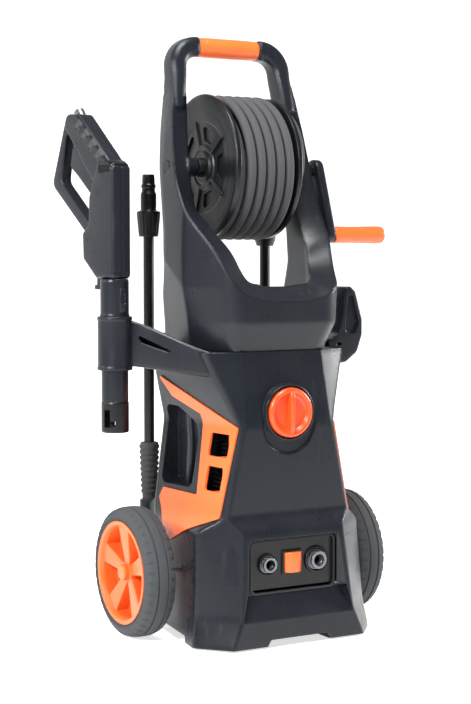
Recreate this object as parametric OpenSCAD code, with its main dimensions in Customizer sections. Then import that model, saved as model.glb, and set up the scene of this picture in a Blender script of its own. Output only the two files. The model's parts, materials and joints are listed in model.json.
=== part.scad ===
// Upright electric pressure washer with a hose reel, a spray gun and two lances.
// Millimetres. X points to the right of the machine, Y to its back and Z up.
// The origin is on the floor, under the middle of the machine's footprint.

/* [Body] */
// Height of the top of the body covers
body_top = 418; // [400:1:520]
// Half-width of the front plate at its waist
waist_half = 71; // [58:1:85]
// Wall of the covers
wall = 3; // [2.5:0.5:3.5]
// Gap between the covers' lower edge and the floor
floor_gap = 3; // [2:0.5:4]

/* [Wheels] */
// Diameter of the tyres
wheel_d = 190; // [158:1:228]
// Width of the tyres
tyre_w = 50; // [42:1:60]
// Diameter of the rims
rim_d = 151; // [126:1:156]
// Diameter of the axle
axle_d = 12; // [10:0.5:14.4]
// Distance from the middle plane to a tyre's inner face
wheel_in = 155; // [153:1:186]

/* [Handle frame] */
// Height of the top of the handle
frame_top = 880; // [845:1:1056]
// Width of an upright, seen from the front
upright_w = 20; // [17:1:22]
// Diameter of the grip sleeve
grip_d = 30; // [26:1:36]
// Length of the grip sleeve
grip_len = 104; // [87:1:112]
// Diameter of the bar inside the grip
bar_d = 20; // [16:1:22]

/* [Hose reel] */
// Diameter of the hose
hose_d = 14; // [11.5:0.1:16.5]
// Distance between the hose's turns
hose_pitch = 16; // [14:0.1:16.6]
// Turns in one layer
hose_turns = 6; // [4:1:6]
// Diameter of the reel's flanges
flange_d = 216; // [196:1:222]
// Diameter of the reel's shaft
reel_shaft_d = 18; // [15:0.5:21.6]
// Distance from the reel's axis to the crank knob's axis
crank_len = 106; // [88:1:114]
// Diameter of the crank knob
crank_knob_d = 27; // [22.5:0.5:30]

/* [Controls and connectors] */
// Diameter of the rotary switch knob
knob_d = 72; // [60:1:80]
// Diameter of the switch spindle
spindle_d = 8; // [6.5:0.5:9.6]
// Bore of the water inlet
inlet_bore = 11; // [9:0.5:13]
// Outer diameter of the water inlet
inlet_d = 26; // [22:0.5:28]
// Bore of the pressure outlet
outlet_bore = 9; // [7.5:0.5:11]
// Outer diameter of the pressure outlet
outlet_d = 22; // [18.5:0.5:24]

/* [Gun and lances] */
// Diameter of the gun's neck, which sits in the holster
neck_d = 43; // [41.5:0.5:48]
// Outer diameter of the holster
holster_d = 51; // [50:0.5:60]
// Diameter of the gun's bayonet collar
collar_d = 40; // [34:0.5:41]
// Width of the gun's body
gun_w = 32; // [28:1:36]
// Turn of the gun about its barrel
gun_turn = 8; // [0:1:15]
// Diameter of a lance's tube
lance_d = 16; // [13.5:0.5:19]
// Distance from the middle plane to a lance
lance_x = 103; // [98:1:103]

/* [Motor and pump] */
// Outer diameter of the motor
motor_d = 124; // [104:1:132]
// Diameter of the motor shaft
shaft_d = 12; // [10:0.5:13]
// Gear module
gear_m = 1.5; // [1.25:0.05:1.5]
// Diameter of the pump's pistons
piston_d = 16; // [13.5:0.5:18]
// Distance from the pump's axis to a piston
piston_ring = 26; // [24:1:30]
// Travel of a piston
piston_stroke = 8; // [6.5:0.5:9]

/* [Hidden] */
$fn = 64;
// Radial clearance of a running fit
run = 0.05;
// Clearance between pieces that only pass each other
pass = 0.5;
// A cut runs past its faces by this much
over = 1;

dark = [0.22, 0.24, 0.26];
black = [0.09, 0.09, 0.10];
orange = [0.95, 0.42, 0.16];
steel = [0.72, 0.73, 0.75];
brass = [0.78, 0.62, 0.32];
alloy = [0.62, 0.64, 0.66];
copper = [0.72, 0.42, 0.25];

// Wheels and axle
axle_y = 9;
axle_z = wheel_d / 2;
wheel_mid = wheel_in + tyre_w / 2;
wheel_out = wheel_in + tyre_w;
tyre_bead = 4;
// Least depth of rubber between rim and tread
tyre_depth = 19.5;
rim_size = min(rim_d, wheel_d - 2 * tyre_depth);

// Body covers, front to back
split_y = 54;
side_gap = pass;
pocket_y0 = -36;
pocket_y1 = 50;
pocket_z0 = 214;
pocket_z1 = body_top - 80;
pocket_x = 86;

// Ports
port_z = 116;
port_x = 41;
port_half = 69;
port_z0 = 76;
port_z1 = 150;
panel_y = -132;
port_t = 4;
fitting_rise = 14;
fitting_rim = 2;
release_w = 27;
release_h = 29;
release_travel = 5;

// Switch
knob_z = body_top - 87;
knob_y = -132;
knob_rise = 14;

// Handle frame
reel_y = 24;
reel_z = body_top + 267;
lean = 0.15;
// The frame's top never comes lower than the reel needs
reel_room = 462;
crown_z = max(frame_top, body_top + reel_room);
top_z = crown_z - grip_d / 2;
top_y = reel_y + 6 + lean * (top_z - reel_z - 15);
upright_out = 116;
apron_y = -124;

// Reel
flange_t = 4;
fitting_seat = 0.5;
hose_half = (hose_turns * hose_pitch + 2) / 2;
reel_mid = -3;
hose_r = flange_d / 2 - 1;
layers = 3;
core_r = hose_r - layers * hose_d - 0.5;
core_wall = 4;
boss_r = reel_shaft_d / 2 + 5;

// Crank
crank_x0 = 134;
crank_t = 14;
crank_turn = 21;
knob_pin_d = 8;
crank_hub_d = 34;
crank_end_d = 26;
crank_y = reel_y - crank_len * sin(crank_turn);
crank_z = reel_z - crank_len * cos(crank_turn);
crank_reach = 240;

// Gun and holster
gun_x = -210;
gun_y = 9;
holster_z0 = 391;
holster_z1 = 468;
holster_step = 5;
neck_top = 522;
barrel_d = collar_d - 1;
barrel_end = 346;
collar_end = 301;
valve_d = 17;
gun_top = 690;
guard_w = 18;
trigger_w = 12;
trigger_pin = [34, 656];
trigger_pin_d = 6;

// Lances
lance_y = 111;
lance_foot = 160;
lance_top = 600;
clip_z = body_top + 14;

// Motor and pump
motor_y = -1;
teeth_small = 12;
teeth_big = 60;
gear_gap = gear_m * (teeth_small + teeth_big) / 2;
pump_y = motor_y - gear_gap;
gear_z = 176;
gear_t = 12;
case_z = 192;
case_t = 8;
motor_z0 = case_z + case_t;
motor_z1 = 352;
plate_z = 155;
plate_tilt = 8;
plate_d = 64;
block_z0 = 70;
block_z1 = 115;
piston_top = 145;
piston_head = 4;
tray_z = 8;
tray_t = 5;

// ---- Building blocks ----

module rod_x(d, x0, x1, y, z) {
    translate([x0, y, z]) rotate([0, 90, 0]) cylinder(h = x1 - x0, d = d);
}

module rod_y(d, y0, y1, x, z) {
    translate([x, y0, z]) rotate([-90, 0, 0]) cylinder(h = y1 - y0, d = d);
}

module rod_z(d, z0, z1, x, y) {
    translate([x, y, z0]) cylinder(h = z1 - z0, d = d);
}

module block(x0, x1, y0, y1, z0, z1) {
    translate([x0, y0, z0]) cube([x1 - x0, y1 - y0, z1 - z0]);
}

// An outline of Y and Z, drawn out along X
module plate_x(x0, x1) {
    translate([x0, 0, 0]) rotate([90, 0, 90]) linear_extrude(x1 - x0) children();
}

// An outline of X and Z, drawn out along Y
module plate_y(y0, y1) {
    translate([0, y1, 0]) rotate([90, 0, 0]) linear_extrude(y1 - y0) children();
}

module both_sides() {
    children();
    mirror([1, 0, 0]) children();
}

function mirrored(half) = concat(half, [for (i = [len(half) - 1:-1:0]) [-half[i][0], half[i][1]]]);

// Points of an arc from angle a0 to angle a1
function arc(c, r, a0, a1, n) = [for (i = [0:n]) let (a = a0 + (a1 - a0) * i / n)
    c + r * [cos(a), sin(a)]];

// ---- Body covers ----

// Level, then half-width and Y of the front plate, front corner, rear corner and back
stations = [
    [floor_gap, 110, -160, 150, -114, 118, 69, 85, 82],
    [45, 92, -158, 144, -108, 118, 69, 85, 84],
    [165, 82, -144, 138, -100, 120, 66, 85, 87],
    [183, waist_half + 29, -129, waist_half + 37, -120, 121, 64, 85, 88],
    [body_top - 105, waist_half, -129, waist_half + 9, -124, 104, 62, 80, 90],
    [body_top, 66, -108, 120, -90, 130, 54, 90, 86]];

function half_ring(s, t) = [[s[1] - t, s[2] + t], [s[3] - t, s[4] + t / 2],
    [s[5] - t, s[6] - t / 2], [s[7] - t, s[8] - t]];

function level_ring(s, t, z) = [for (p = mirrored(half_ring(s, t))) [p[0], p[1], z]];

// A closed skin through the stations, moved in by t, from level z0 to level z1
module body_solid(t, z0, z1) {
    last = len(stations) - 1;
    points = [for (i = [0:last]) each level_ring(stations[i], t,
        i == 0 ? z0 : i == last ? z1 : stations[i][0])];
    n = 8;
    sides = [for (i = [0:last - 1]) for (k = [0:n - 1]) let (a = i * n + k, b = i * n + (k + 1) % n)
        each [[a, a + n, b + n], [a, b + n, b]]];
    foot = [for (k = [0:n - 1]) k];
    roof = [for (k = [n - 1:-1:0]) last * n + k];
    polyhedron(points, concat([foot], sides, [roof]));
}

module pocket(t) {
    block(-200, -pocket_x + t, pocket_y0 - t, pocket_y1 + t, pocket_z0 - t, pocket_z1 + t);
}

// The whole hollow body, open at the bottom, with a hand pocket in each side
module body_skin() {
    difference() {
        union() {
            difference() {
                body_solid(0, floor_gap, body_top);
                body_solid(wall, floor_gap - over, body_top - wall);
            }
            intersection() {
                body_solid(wall / 2, floor_gap, body_top - wall / 2);
                both_sides() pocket(wall);
            }
        }
        both_sides() pocket(0);
        both_sides() panel_skin(-3, panel_sink, side_gap);
        rod_x(axle_d + 2 * pass, -200, 200, axle_y, axle_z);
        block(-48, 48, -200, 200, -over, floor_gap + 9);
        block(-200, 200, -76, 44, -over, floor_gap + 9);
    }
}

module front_cover() {
    color(dark) difference() {
        union() {
            intersection() {
                body_skin();
                block(-250, 250, -250, split_y, 0, body_top);
            }
            intersection() {
                body_solid(wall / 2, floor_gap, body_top);
                rod_y(knob_d + 10, knob_y, knob_y + knob_rise, 0, knob_z);
            }
        }
        block(-port_half, port_half, -200, panel_y - port_t, port_z0, port_z1);
        rod_y(knob_d + 4, -200, knob_y + knob_rise - wall, 0, knob_z);
        rod_y(spindle_d + 2, -200, -100, 0, knob_z);
    }
}

module rear_cover() {
    color(dark) difference() {
        union() {
            intersection() {
                body_skin();
                block(-250, 250, split_y, 250, 0, body_top);
            }
            both_sides() lance_cup();
        }
        both_sides() rod_z(lance_d + 6 + 2 * pass, lance_foot, 220, lance_x, lance_y);
        rod_y(20, 64, 114, 0, 60);
        for (k = [0:6]) block(-45, 45, 74, 114, 210 + 18 * k, 218 + 18 * k);
    }
}

module lance_cup() {
    rod_z(lance_d + 14, lance_foot - 10, lance_foot + 22, lance_x, lance_y);
    block(lance_x - 8, lance_x + 8, 66, lance_y, lance_foot - 10, lance_foot + 12);
}

// The side panel's outline, as Y and Z
panel_points = [[-122, body_top - 106], [-117, 184], [-8, 140], [10, 140], [46, 196], [38, 211],
    [-52, 210], [-40, body_top - 92], [22, body_top - 70], [48, body_top - 38]];
vent_points = [[-106, body_top - 148, -66, body_top - 118], [-102, body_top - 198, -72, body_top - 164]];
panel_t = 3.5;
panel_sink = 1.5;

// The part of the body's skin under the panel's outline, from t_out to t_in below the surface
module panel_skin(t_out, t_in, gap) {
    intersection() {
        difference() {
            body_solid(t_out, floor_gap, body_top + 2);
            body_solid(t_in, floor_gap - over, body_top + 4);
        }
        plate_x(-200, -40) offset(delta = gap) polygon(panel_points);
    }
}

module side_panel(side) {
    mirror([side, 0, 0]) difference() {
        panel_skin(panel_sink - panel_t, panel_sink, 0);
        for (v = vent_points) plate_x(-200, -40) translate([v[0], v[1]]) square([v[2] - v[0], v[3] - v[1]]);
    }
}

module side_panel_left() {
    color(orange) side_panel(0);
}

module side_panel_right() {
    color(orange) side_panel(1);
}

module base_tray() {
    color(black) difference() {
        union() {
            translate([0, 0, tray_z + 4]) linear_extrude(tray_t)
                polygon(mirrored([[100, -146], [134, -110], [111, 62], [78, 74]]));
            both_sides() block(96, 114, axle_y - 16, axle_y + 16, tray_z + 4, axle_z + axle_d / 2 + 6);
            both_sides() block(40, 96, axle_y - 4, axle_y + 4, tray_z + 4, 50);
        }
        rod_x(axle_d + 2 * run, -200, 200, axle_y, axle_z);
        both_sides() rod_z(20, -over, 40, 60, -76);
    }
}

module rubber_feet() {
    color(black) both_sides() linear_extrude(tray_z + 4)
        polygon([[56, -150], [98, -150], [110, -138], [110, -116], [56, -116]]);
}

// ---- Wheels ----

module axle() {
    color(steel) union() {
        rod_x(axle_d, -(wheel_out - 6), wheel_out - 6, axle_y, axle_z);
        both_sides() rod_x(axle_d + 8, wheel_out - 8, wheel_out - 5, axle_y, axle_z);
    }
}

// Half-profile of a tyre: distance from the axle against distance along it
function tyre_outline() = let (r = wheel_d / 2, h = tyre_w / 2, b = rim_size / 2 - tyre_bead)
    concat([[b, -h + 5]], arc([r - 12, -h + 12], 12, -90, 0, 6), arc([r - 12, h - 12], 12, 0, 90, 6),
    [[b, h - 5]]);

module tyre(side) {
    color([0.13, 0.14, 0.16]) translate([side * wheel_mid, axle_y, axle_z]) rotate([0, 90, 0])
        rotate_extrude($fn = 96) difference() {
            polygon(tyre_outline());
            for (x = [-15, 0, 15]) translate([wheel_d / 2 - 1.5, x - 1.5]) square([3, 3]);
        }
}

module rim(side) {
    spokes = 5;
    h = tyre_w / 2;
    r = rim_size / 2;
    color(orange) translate([side * wheel_mid, axle_y, axle_z]) rotate([0, side * 90, 0]) difference() {
        union() {
            rotate_extrude($fn = 96) polygon([[r - tyre_bead - 0.1, -h + 5], [r - tyre_bead - 0.1, h - 4.9],
                [r, h - 3], [r, h - 1], [r - 8, h - 1], [r - 9, -h + 5]]);
            cylinder(h = tyre_w - 10, r = 17, center = true);
            translate([0, 0, -4]) cylinder(h = 3, r = r - 6);
            for (k = [0:spokes - 1]) rotate(k * 360 / spokes) translate([10, -8, -3])
                cube([r - 17, 16, h - 3]);
        }
        cylinder(h = tyre_w + 2, d = axle_d + 2 * run, center = true);
        translate([0, 0, h - 9]) cylinder(h = 20, d = axle_d + 12);
        for (k = [0:spokes - 1]) rotate((k + 0.5) * 360 / spokes) translate([r * 0.55, 0, -10])
            cylinder(h = 20, r = r * 0.2);
    }
}

module tyre_left() {
    tyre(-1);
}

module tyre_right() {
    tyre(1);
}

module rim_left() {
    rim(-1);
}

module rim_right() {
    rim(1);
}

// ---- Handle frame ----

// Half-width of the frame's outside at a level
frame_out = [[88, body_top], [126, body_top + 30], [127, body_top + 118], [125, body_top + 182],
    [upright_out, body_top + 282], [98, crown_z - 55]];
frame_in = [[84, body_top + 96], [127 - upright_w - 6, body_top + 142],
    [upright_out - upright_w, body_top + 282], [99 - upright_w, crown_z - 75]];

module frame_front() {
    difference() {
        polygon(mirrored(concat(frame_out, arc([66, crown_z - 32], 32, 0, 90, 8))));
        polygon(mirrored(concat(frame_in, arc([53, crown_z - 54], 22, 0, 90, 6))));
    }
}

// Side outline: a leaning upright that sweeps forward into the apron
module frame_side() {
    y0 = reel_y - 20;
    y1 = reel_y + 28;
    polygon(concat(
        [[-108, body_top], [apron_y, body_top + 54], [apron_y, body_top + 72], [-102, body_top + 92],
        [-66, body_top + 118], [-30, body_top + 150], [-14, body_top + 186]],
        [[y0 + 2, reel_z], [top_y - 15, top_z]],
        arc([top_y, top_z], 15, 180, 20, 8),
        [[top_y + 17, top_z - 30], [y1 + 2, reel_z], [28, body_top + 178],
        [24, body_top + 130], [42, body_top + 80], [50, body_top]]));
}

module frame_plan() {
    polygon(mirrored([[86, apron_y - over], [98, apron_y + 6], [130, -46], [140, 200]]));
}

module handle_frame() {
    color(dark) union() {
        difference() {
            intersection() {
                plate_y(-200, 200) frame_front();
                plate_x(-200, 200) frame_side();
                translate([0, 0, body_top]) linear_extrude(crown_z) frame_plan();
            }
            // Tray behind the crossbar, the grip's gap and the bearing holes
            translate([0, 0, body_top + 22]) linear_extrude(200)
                polygon(mirrored([[70, apron_y + 22], [100, -46], [102, 14]]));
            block(-grip_len / 2, grip_len / 2, -200, 200, crown_z - grip_d - 6, crown_z + over);
            rod_x(reel_shaft_d + 2 * run, -200, 200, reel_y, reel_z);
        }
        rod_x(bar_d, -grip_len / 2 - 2, grip_len / 2 + 2, top_y, top_z);
        for (s = [0, 1]) mirror([s, 0, 0]) difference() {
            rod_x(2 * boss_r, 70, upright_out - upright_w + 4, reel_y, reel_z);
            rod_x(reel_shaft_d + 2 * run, 60, 140, reel_y, reel_z);
        }
    }
}

module handle_grip() {
    color(orange) difference() {
        rod_x(grip_d, -grip_len / 2 + 0.2, grip_len / 2 - 0.2, top_y, top_z);
        rod_x(bar_d + 2 * run, -grip_len, grip_len, top_y, top_z);
    }
}

// ---- Ports and switch ----

module port_panel() {
    y0 = panel_y - 9;
    color(black) difference() {
        block(-port_half - 3, port_half + 3, y0, panel_y, port_z0 - 3, port_z1 + 3);
        block(-port_half + 0.5, port_half - 0.5, y0 - over, panel_y - port_t, port_z0 + 0.5, port_z1 - 0.5);
        rod_y(inlet_d + 2 * fitting_rim + 2 * pass, -200, 0, port_x, port_z);
        rod_y(outlet_d + 2 * fitting_rim + 2 * pass, -200, 0, -port_x, port_z);
        block(-release_w / 2 - pass, release_w / 2 + pass, -200, 0,
            port_z - release_h / 2 - pass, port_z + release_h / 2 + pass);
    }
}

module fitting(x, d, bore, mat) {
    color(mat) difference() {
        union() {
            rod_y(d, panel_y - fitting_rise, panel_y - port_t, x, port_z);
            rod_y(d + 2 * fitting_rim, panel_y - port_t - 1, panel_y + 10, x, port_z);
            rod_y(d + fitting_rim, panel_y + 9, pump_y - 46, x, port_z);
        }
        rod_y(bore, -200, 0, x, port_z);
    }
}

module inlet_fitting() {
    fitting(port_x, inlet_d, inlet_bore, steel);
}

module outlet_fitting() {
    fitting(-port_x, outlet_d, outlet_bore, alloy);
}

module release_button() {
    color(orange) union() {
        block(-release_w / 2, release_w / 2, panel_y - 14, panel_y + 2,
            port_z - release_h / 2, port_z + release_h / 2);
        block(-release_w / 6, release_w / 6, panel_y - 16, panel_y - 13,
            port_z - release_h / 2, port_z + release_h / 2);
    }
}

module switch_box() {
    color(black) difference() {
        block(-24, 24, -114, -82, knob_z - 26, knob_z + 26);
        rod_y(spindle_d + 2 * run, -200, -90, 0, knob_z);
    }
}

module switch_knob() {
    face = knob_y + knob_rise - 4.5;
    color(orange) union() {
        difference() {
            rod_y(knob_d, knob_y - 6, face, 0, knob_z);
            rod_y(knob_d - 14, knob_y - 7, knob_y - 2, 0, knob_z);
        }
        block(-4, 4, knob_y - 10, knob_y, knob_z - knob_d / 2 + 6, knob_z + knob_d / 2 - 6);
        rod_y(spindle_d, face - over, -92, 0, knob_z);
    }
}

// ---- Holster, hook and lance rack ----

module gun_holster() {
    color(dark) difference() {
        union() {
            hull() {
                block(-126, -118, -82, 24, body_top - 26, body_top + 4);
                block(gun_x + 18, gun_x + 22, gun_y - 14, gun_y + 14, holster_z0 + 6, holster_z1 - 6);
            }
            rod_z(holster_d, holster_z0, holster_z1, gun_x, gun_y);
            block(gun_x - 6, gun_x + 8, gun_y - holster_d / 2 - 4, gun_y, holster_z0 + 3, holster_z1 - 26);
        }
        body_solid(-0.01, floor_gap, body_top + 0.01);
        rod_z(neck_d + 2 * pass, holster_z0 + holster_step, holster_z1 + over, gun_x, gun_y);
        rod_z(collar_d + 2 * pass, 0, 600, gun_x, gun_y);
        linear_slot();
    }
}

// A slanted opening that lightens the arm
module linear_slot() {
    plate_y(-76, 64) polygon([[-184, body_top + 26], [-176, body_top + 8], [-136, body_top - 8]]);
}

module cable_hook() {
    color(dark) difference() {
        plate_y(-52, -20) polygon([[112, body_top - 30], [150, body_top - 22], [176, body_top - 4],
            [190, body_top + 34], [186, body_top + 70], [172, body_top + 90], [164, body_top + 84],
            [170, body_top + 40], [160, body_top + 14], [112, body_top + 0]]);
        body_solid(-0.01, floor_gap, body_top + 0.01);
    }
}

module lance_rack() {
    color(dark) difference() {
        union() {
            block(-lance_x, lance_x, lance_y - 34, lance_y - 20, clip_z - 14, clip_z + 6);
            both_sides() block(lance_x - 9, lance_x + 9, lance_y - 34, lance_y, clip_z - 8, clip_z + 6);
            both_sides() rod_z(lance_d + 12, clip_z - 8, clip_z + 6, lance_x, lance_y);
        }
        both_sides() rod_z(lance_d + 2 * pass, 0, 800, lance_x, lance_y);
        both_sides() block(lance_x - lance_d * 0.4, lance_x + lance_d * 0.4, lance_y, lance_y + 60,
            clip_z - 20, clip_z + 20);
    }
}

// ---- Hose reel ----

reel_left = reel_mid - hose_half;
reel_right = reel_mid + hose_half;

module reel_drum() {
    color(black) union() {
        difference() {
            rod_x(2 * core_r, reel_left, reel_right, reel_y, reel_z);
            rod_x(2 * (core_r - core_wall), reel_left + 4, reel_right - 4, reel_y, reel_z);
        }
        rod_x(reel_shaft_d, -upright_out - 2, crank_x0 + 4, reel_y, reel_z);
        rod_x(2 * boss_r, -69, 69, reel_y, reel_z);
    }
}

module flange(x0, side) {
    windows = 5;
    color(black) translate([x0, reel_y, reel_z]) rotate([0, side * 90, 0]) difference() {
        union() {
            cylinder(h = flange_t, d = flange_d);
            difference() {
                cylinder(h = flange_t + 4, d = flange_d);
                translate([0, 0, -over]) cylinder(h = flange_t + 8, d = flange_d - 8);
            }
        }
        translate([0, 0, -over]) cylinder(h = 20, r = boss_r + run);
        for (k = [0:windows - 1]) rotate(k * 360 / windows) translate([core_r * 0.66, 0, -over])
            cylinder(h = 20, r = 12);
    }
}

module reel_flange_left() {
    flange(reel_left, -1);
}

module reel_flange_right() {
    flange(reel_right, 1);
}

// Outer shape of the wound hose: one ridge a turn
module wound_hose() {
    r = hose_r - hose_d / 2;
    color([0.16, 0.16, 0.17]) translate([reel_left + 1, reel_y, reel_z]) rotate([0, 90, 0])
        rotate_extrude($fn = 96) union() {
            translate([core_r + 0.2, 0]) square([r - core_r - 0.2, hose_turns * hose_pitch]);
            for (k = [0:hose_turns - 1]) translate([r, hose_pitch * (k + 0.5)]) circle(d = hose_d);
        }
}

module hose_end_fitting() {
    x = reel_right + flange_t + fitting_seat + (hose_d + 1) / 2;
    color(brass) translate([x, reel_y, reel_z]) rotate([-35, 0, 0]) difference() {
        union() {
            translate([0, 60, -18]) cylinder(h = 30, d = hose_d - 2, $fn = 48);
            translate([0, 60, -6]) cylinder(h = 12, d = hose_d + 1, $fn = 48);
        }
        translate([0, 60, -30]) cylinder(h = 60, d = 6);
    }
}

module crank_arm() {
    color(dark) difference() {
        union() {
            rod_x(crank_hub_d, crank_x0, crank_x0 + crank_t, reel_y, reel_z);
            rod_x(crank_end_d, crank_x0, crank_x0 + crank_t, crank_y, crank_z);
            translate([crank_x0, reel_y, reel_z]) rotate([crank_turn * -1, 0, 0])
                block(1, crank_t - 1, 1 - crank_end_d / 2, crank_end_d / 2 - 1, -crank_len, 0);
        }
        rod_x(knob_pin_d + 2 * run, 0, 300, crank_y, crank_z);
        rod_x(reel_shaft_d, crank_x0 - over, crank_x0 + 4, reel_y, reel_z);
    }
}

module crank_knob() {
    x = crank_x0 + crank_t + 0.4;
    color(orange) translate([0, crank_y, crank_z]) rotate([0, 90, 0]) union() {
        translate([0, 0, x]) cylinder(h = crank_reach - x, d = crank_knob_d);
        translate([0, 0, crank_x0 - 0.8]) cylinder(h = x + 1 - crank_x0, d = knob_pin_d);
        translate([0, 0, crank_x0 - 6]) cylinder(h = 5.6, d = knob_pin_d + 8);
    }
}

// ---- Spray gun, drawn in its own plane: distance behind the barrel's axis against Z ----

module gun_place() {
    translate([gun_x, gun_y, 0]) rotate([0, 0, gun_turn]) children();
}

body_outline = [[-20, neck_top], [-20, gun_top - 9], [-8, gun_top], [20, gun_top],
    [44, 640], [46, 600], [62, 588], [60, 550], [26, neck_top]];
grip_outline = [[-8, gun_top], [74, 762], [106, 764], [112, 744], [40, 664], [0, 650]];
guard_outline = [[40, 690], [104, 764], [112, 764], [153, 660], [62, 588], [30, 590]];
guard_hole = [[112, 744], [128, 664], [46, 598], [40, 640], [50, 672]];
trigger_slot = [[22, 650], [44, 634], [124, 676], [118, 738], [98, 744], [26, 676]];
trigger_outline = [[26, 650], [36, 645], [54, 645], [88, 672], [108, 686], [102, 712], [94, 718], [30, 664]];

module gun_half(side) {
    mirror([side, 0, 0]) difference() {
        union() {
            plate_x(-gun_w / 2, -0.1) {
                polygon(body_outline);
                polygon(grip_outline);
            }
            plate_x(-guard_w / 2, -0.1) difference() {
                polygon(guard_outline);
                polygon(guard_hole);
            }
        }
        plate_x(-trigger_w / 2 - pass, 1) polygon(trigger_slot);
        rod_z(valve_d + 2 * run, 0, gun_top - 16, 0, 0);
        rod_x(trigger_pin_d + 2 * run, -gun_w, gun_w, trigger_pin[0], trigger_pin[1]);
        inlet_cut();
        block(-4.5, 4.5, 24, 44, neck_top - 4, neck_top + 12);
    }
}

module inlet_cut() {
    translate([0, 90, 764]) rotate([-38, 0, 0]) translate([0, 0, -24]) cylinder(h = 60, d = 16 + 2 * run);
}

module gun_shell_left() {
    color(dark) gun_place() gun_half(0);
}

module gun_shell_right() {
    color(dark) gun_place() gun_half(1);
}

module gun_valve() {
    color(brass) gun_place() difference() {
        rod_z(valve_d, collar_end + 30, gun_top - 17, 0, 0);
        rod_z(6, 0, gun_top - 30, 0, 0);
    }
}

module gun_barrel() {
    color(dark) gun_place() difference() {
        union() {
            rod_z(neck_d, holster_z0 + holster_step + 0.1, neck_top - 0.1, 0, 0);
            rod_z(barrel_d, barrel_end, holster_z0 + holster_step + 1, 0, 0);
            block(-5, 5, -neck_d / 2 - 1.5, 0, holster_z1 + 6, neck_top - 14);
        }
        rod_z(valve_d + 2 * run, 0, 600, 0, 0);
    }
}

module gun_collar() {
    color(black) gun_place() difference() {
        rod_z(collar_d, collar_end, barrel_end - 0.1, 0, 0);
        rod_z(valve_d + 2 * run, 0, 600, 0, 0);
        rod_z(26, 0, collar_end + 28, 0, 0);
        for (a = [0, 180]) rotate(a) block(8, 30, -5, 5, collar_end + 8, collar_end + 34);
    }
}

module gun_inlet() {
    color(steel) gun_place() translate([0, 90, 764]) rotate([-38, 0, 0]) difference() {
        union() {
            translate([0, 0, -23]) cylinder(h = 24, d = 16);
            cylinder(h = 3, d = 15);
        }
        translate([0, 0, -30]) cylinder(h = 60, d = 9);
    }
}

module gun_trigger() {
    color(dark) gun_place() union() {
        plate_x(-trigger_w / 2, trigger_w / 2) polygon(trigger_outline);
        rod_x(trigger_pin_d, -gun_w / 2 + 1, gun_w / 2 - 1, trigger_pin[0], trigger_pin[1]);
    }
}

module trigger_lock() {
    color(black) gun_place() union() {
        block(-4, 4, 28, 40, neck_top - 10, neck_top + 8);
        block(-4, 4, 28, 46, neck_top - 16, neck_top - 10);
    }
}

// ---- Lances ----

module lance_tube(side) {
    color(black) rod_z(lance_d, lance_foot + 26, lance_top, side * lance_x, lance_y);
}

module lance_grip(side) {
    x = side * lance_x;
    color(black) difference() {
        union() {
            rod_z(lance_d + 6, lance_foot + 1, lance_foot + 40, x, lance_y);
            translate([x, lance_y, lance_foot + 28]) cylinder(h = 82, d1 = lance_d + 8, d2 = lance_d + 16);
            for (k = [0:7]) translate([x, lance_y, lance_foot + 32 + 10 * k])
                cylinder(h = 4, d = lance_d + 10.5 + k);
        }
        rod_z(lance_d + 2 * run, lance_foot + 26, 500, x, lance_y);
        rod_z(8, 0, 500, x, lance_y);
    }
}

// A profile of radius and level, turned about the lance's axis
module turned(x, profile) {
    translate([x, lance_y, 0]) rotate_extrude() polygon(profile);
}

module vario_tube() {
    lance_tube(-1);
}

module vario_grip() {
    lance_grip(-1);
}

module vario_nozzle() {
    r = lance_d / 2 + run;
    z = lance_top - 17;
    color(black) turned(-lance_x, [[r, z], [15, z], [18, z + 34], [18, z + 38], [14, z + 39], [12, z + 46],
        [12, z + 66], [10, z + 72], [10, z + 86], [9, z + 94], [3, z + 94], [3, z + 20], [r, z + 20]]);
}

module turbo_tube() {
    lance_tube(1);
}

module turbo_grip() {
    lance_grip(1);
}

module turbo_nozzle() {
    r = lance_d / 2 + run;
    z = lance_top - 31;
    color(black) turned(lance_x, [[r, z], [13, z], [17, z + 12], [17, z + 52], [13, z + 64], [11, z + 76],
        [3, z + 76], [3, z + 34], [r, z + 34]]);
}

// ---- Motor and pump ----

module motor_housing() {
    r = motor_d / 2;
    color(alloy) translate([0, motor_y, 0]) difference() {
        union() {
            rod_z(motor_d, motor_z0, motor_z1, 0, 0);
            rod_z(motor_d + 6, motor_z0, motor_z0 + 5, 0, 0);
        }
        rod_z(motor_d - 6, motor_z0 + 4, motor_z1 - 4, 0, 0);
        rod_z(shaft_d + 2 * run, 0, 500, 0, 0);
        for (a = [0:45:315]) rotate(a) rod_z(12, motor_z1 - 10, motor_z1 + 10, r - 16, 0);
    }
}

module stator() {
    color(copper) translate([0, motor_y, 0]) difference() {
        rod_z(motor_d - 6.2, motor_z0 + 24, motor_z0 + 104, 0, 0);
        rod_z(62, 0, 500, 0, 0);
    }
}

module rotor() {
    blades = 9;
    color(steel) translate([0, motor_y, 0]) union() {
        rod_z(shaft_d, gear_z - 6, motor_z1 + 8, 0, 0);
        rod_z(60, motor_z0 + 26, motor_z0 + 102, 0, 0);
        rod_z(96, motor_z1 - 26, motor_z1 - 23, 0, 0);
        for (k = [0:blades - 1]) rotate(k * 360 / blades) block(14, 47, -1, 1, motor_z1 - 24, motor_z1 - 10);
    }
}

// A spur gear with straight-sided teeth, centred on a tooth at angle 0
module gear(teeth, bore) {
    pitch_r = gear_m * teeth / 2;
    half = gear_m * PI * 0.2;
    linear_extrude(gear_t) difference() {
        union() {
            circle(r = pitch_r - 1.25 * gear_m);
            for (k = [0:teeth - 1]) rotate(k * 360 / teeth) translate([pitch_r, 0])
                polygon([[-1.6 * gear_m, -1.45 * half], [gear_m, -0.45 * half], [gear_m, 0.45 * half],
                    [-1.6 * gear_m, 1.45 * half]]);
        }
        circle(d = bore);
    }
}

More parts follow.
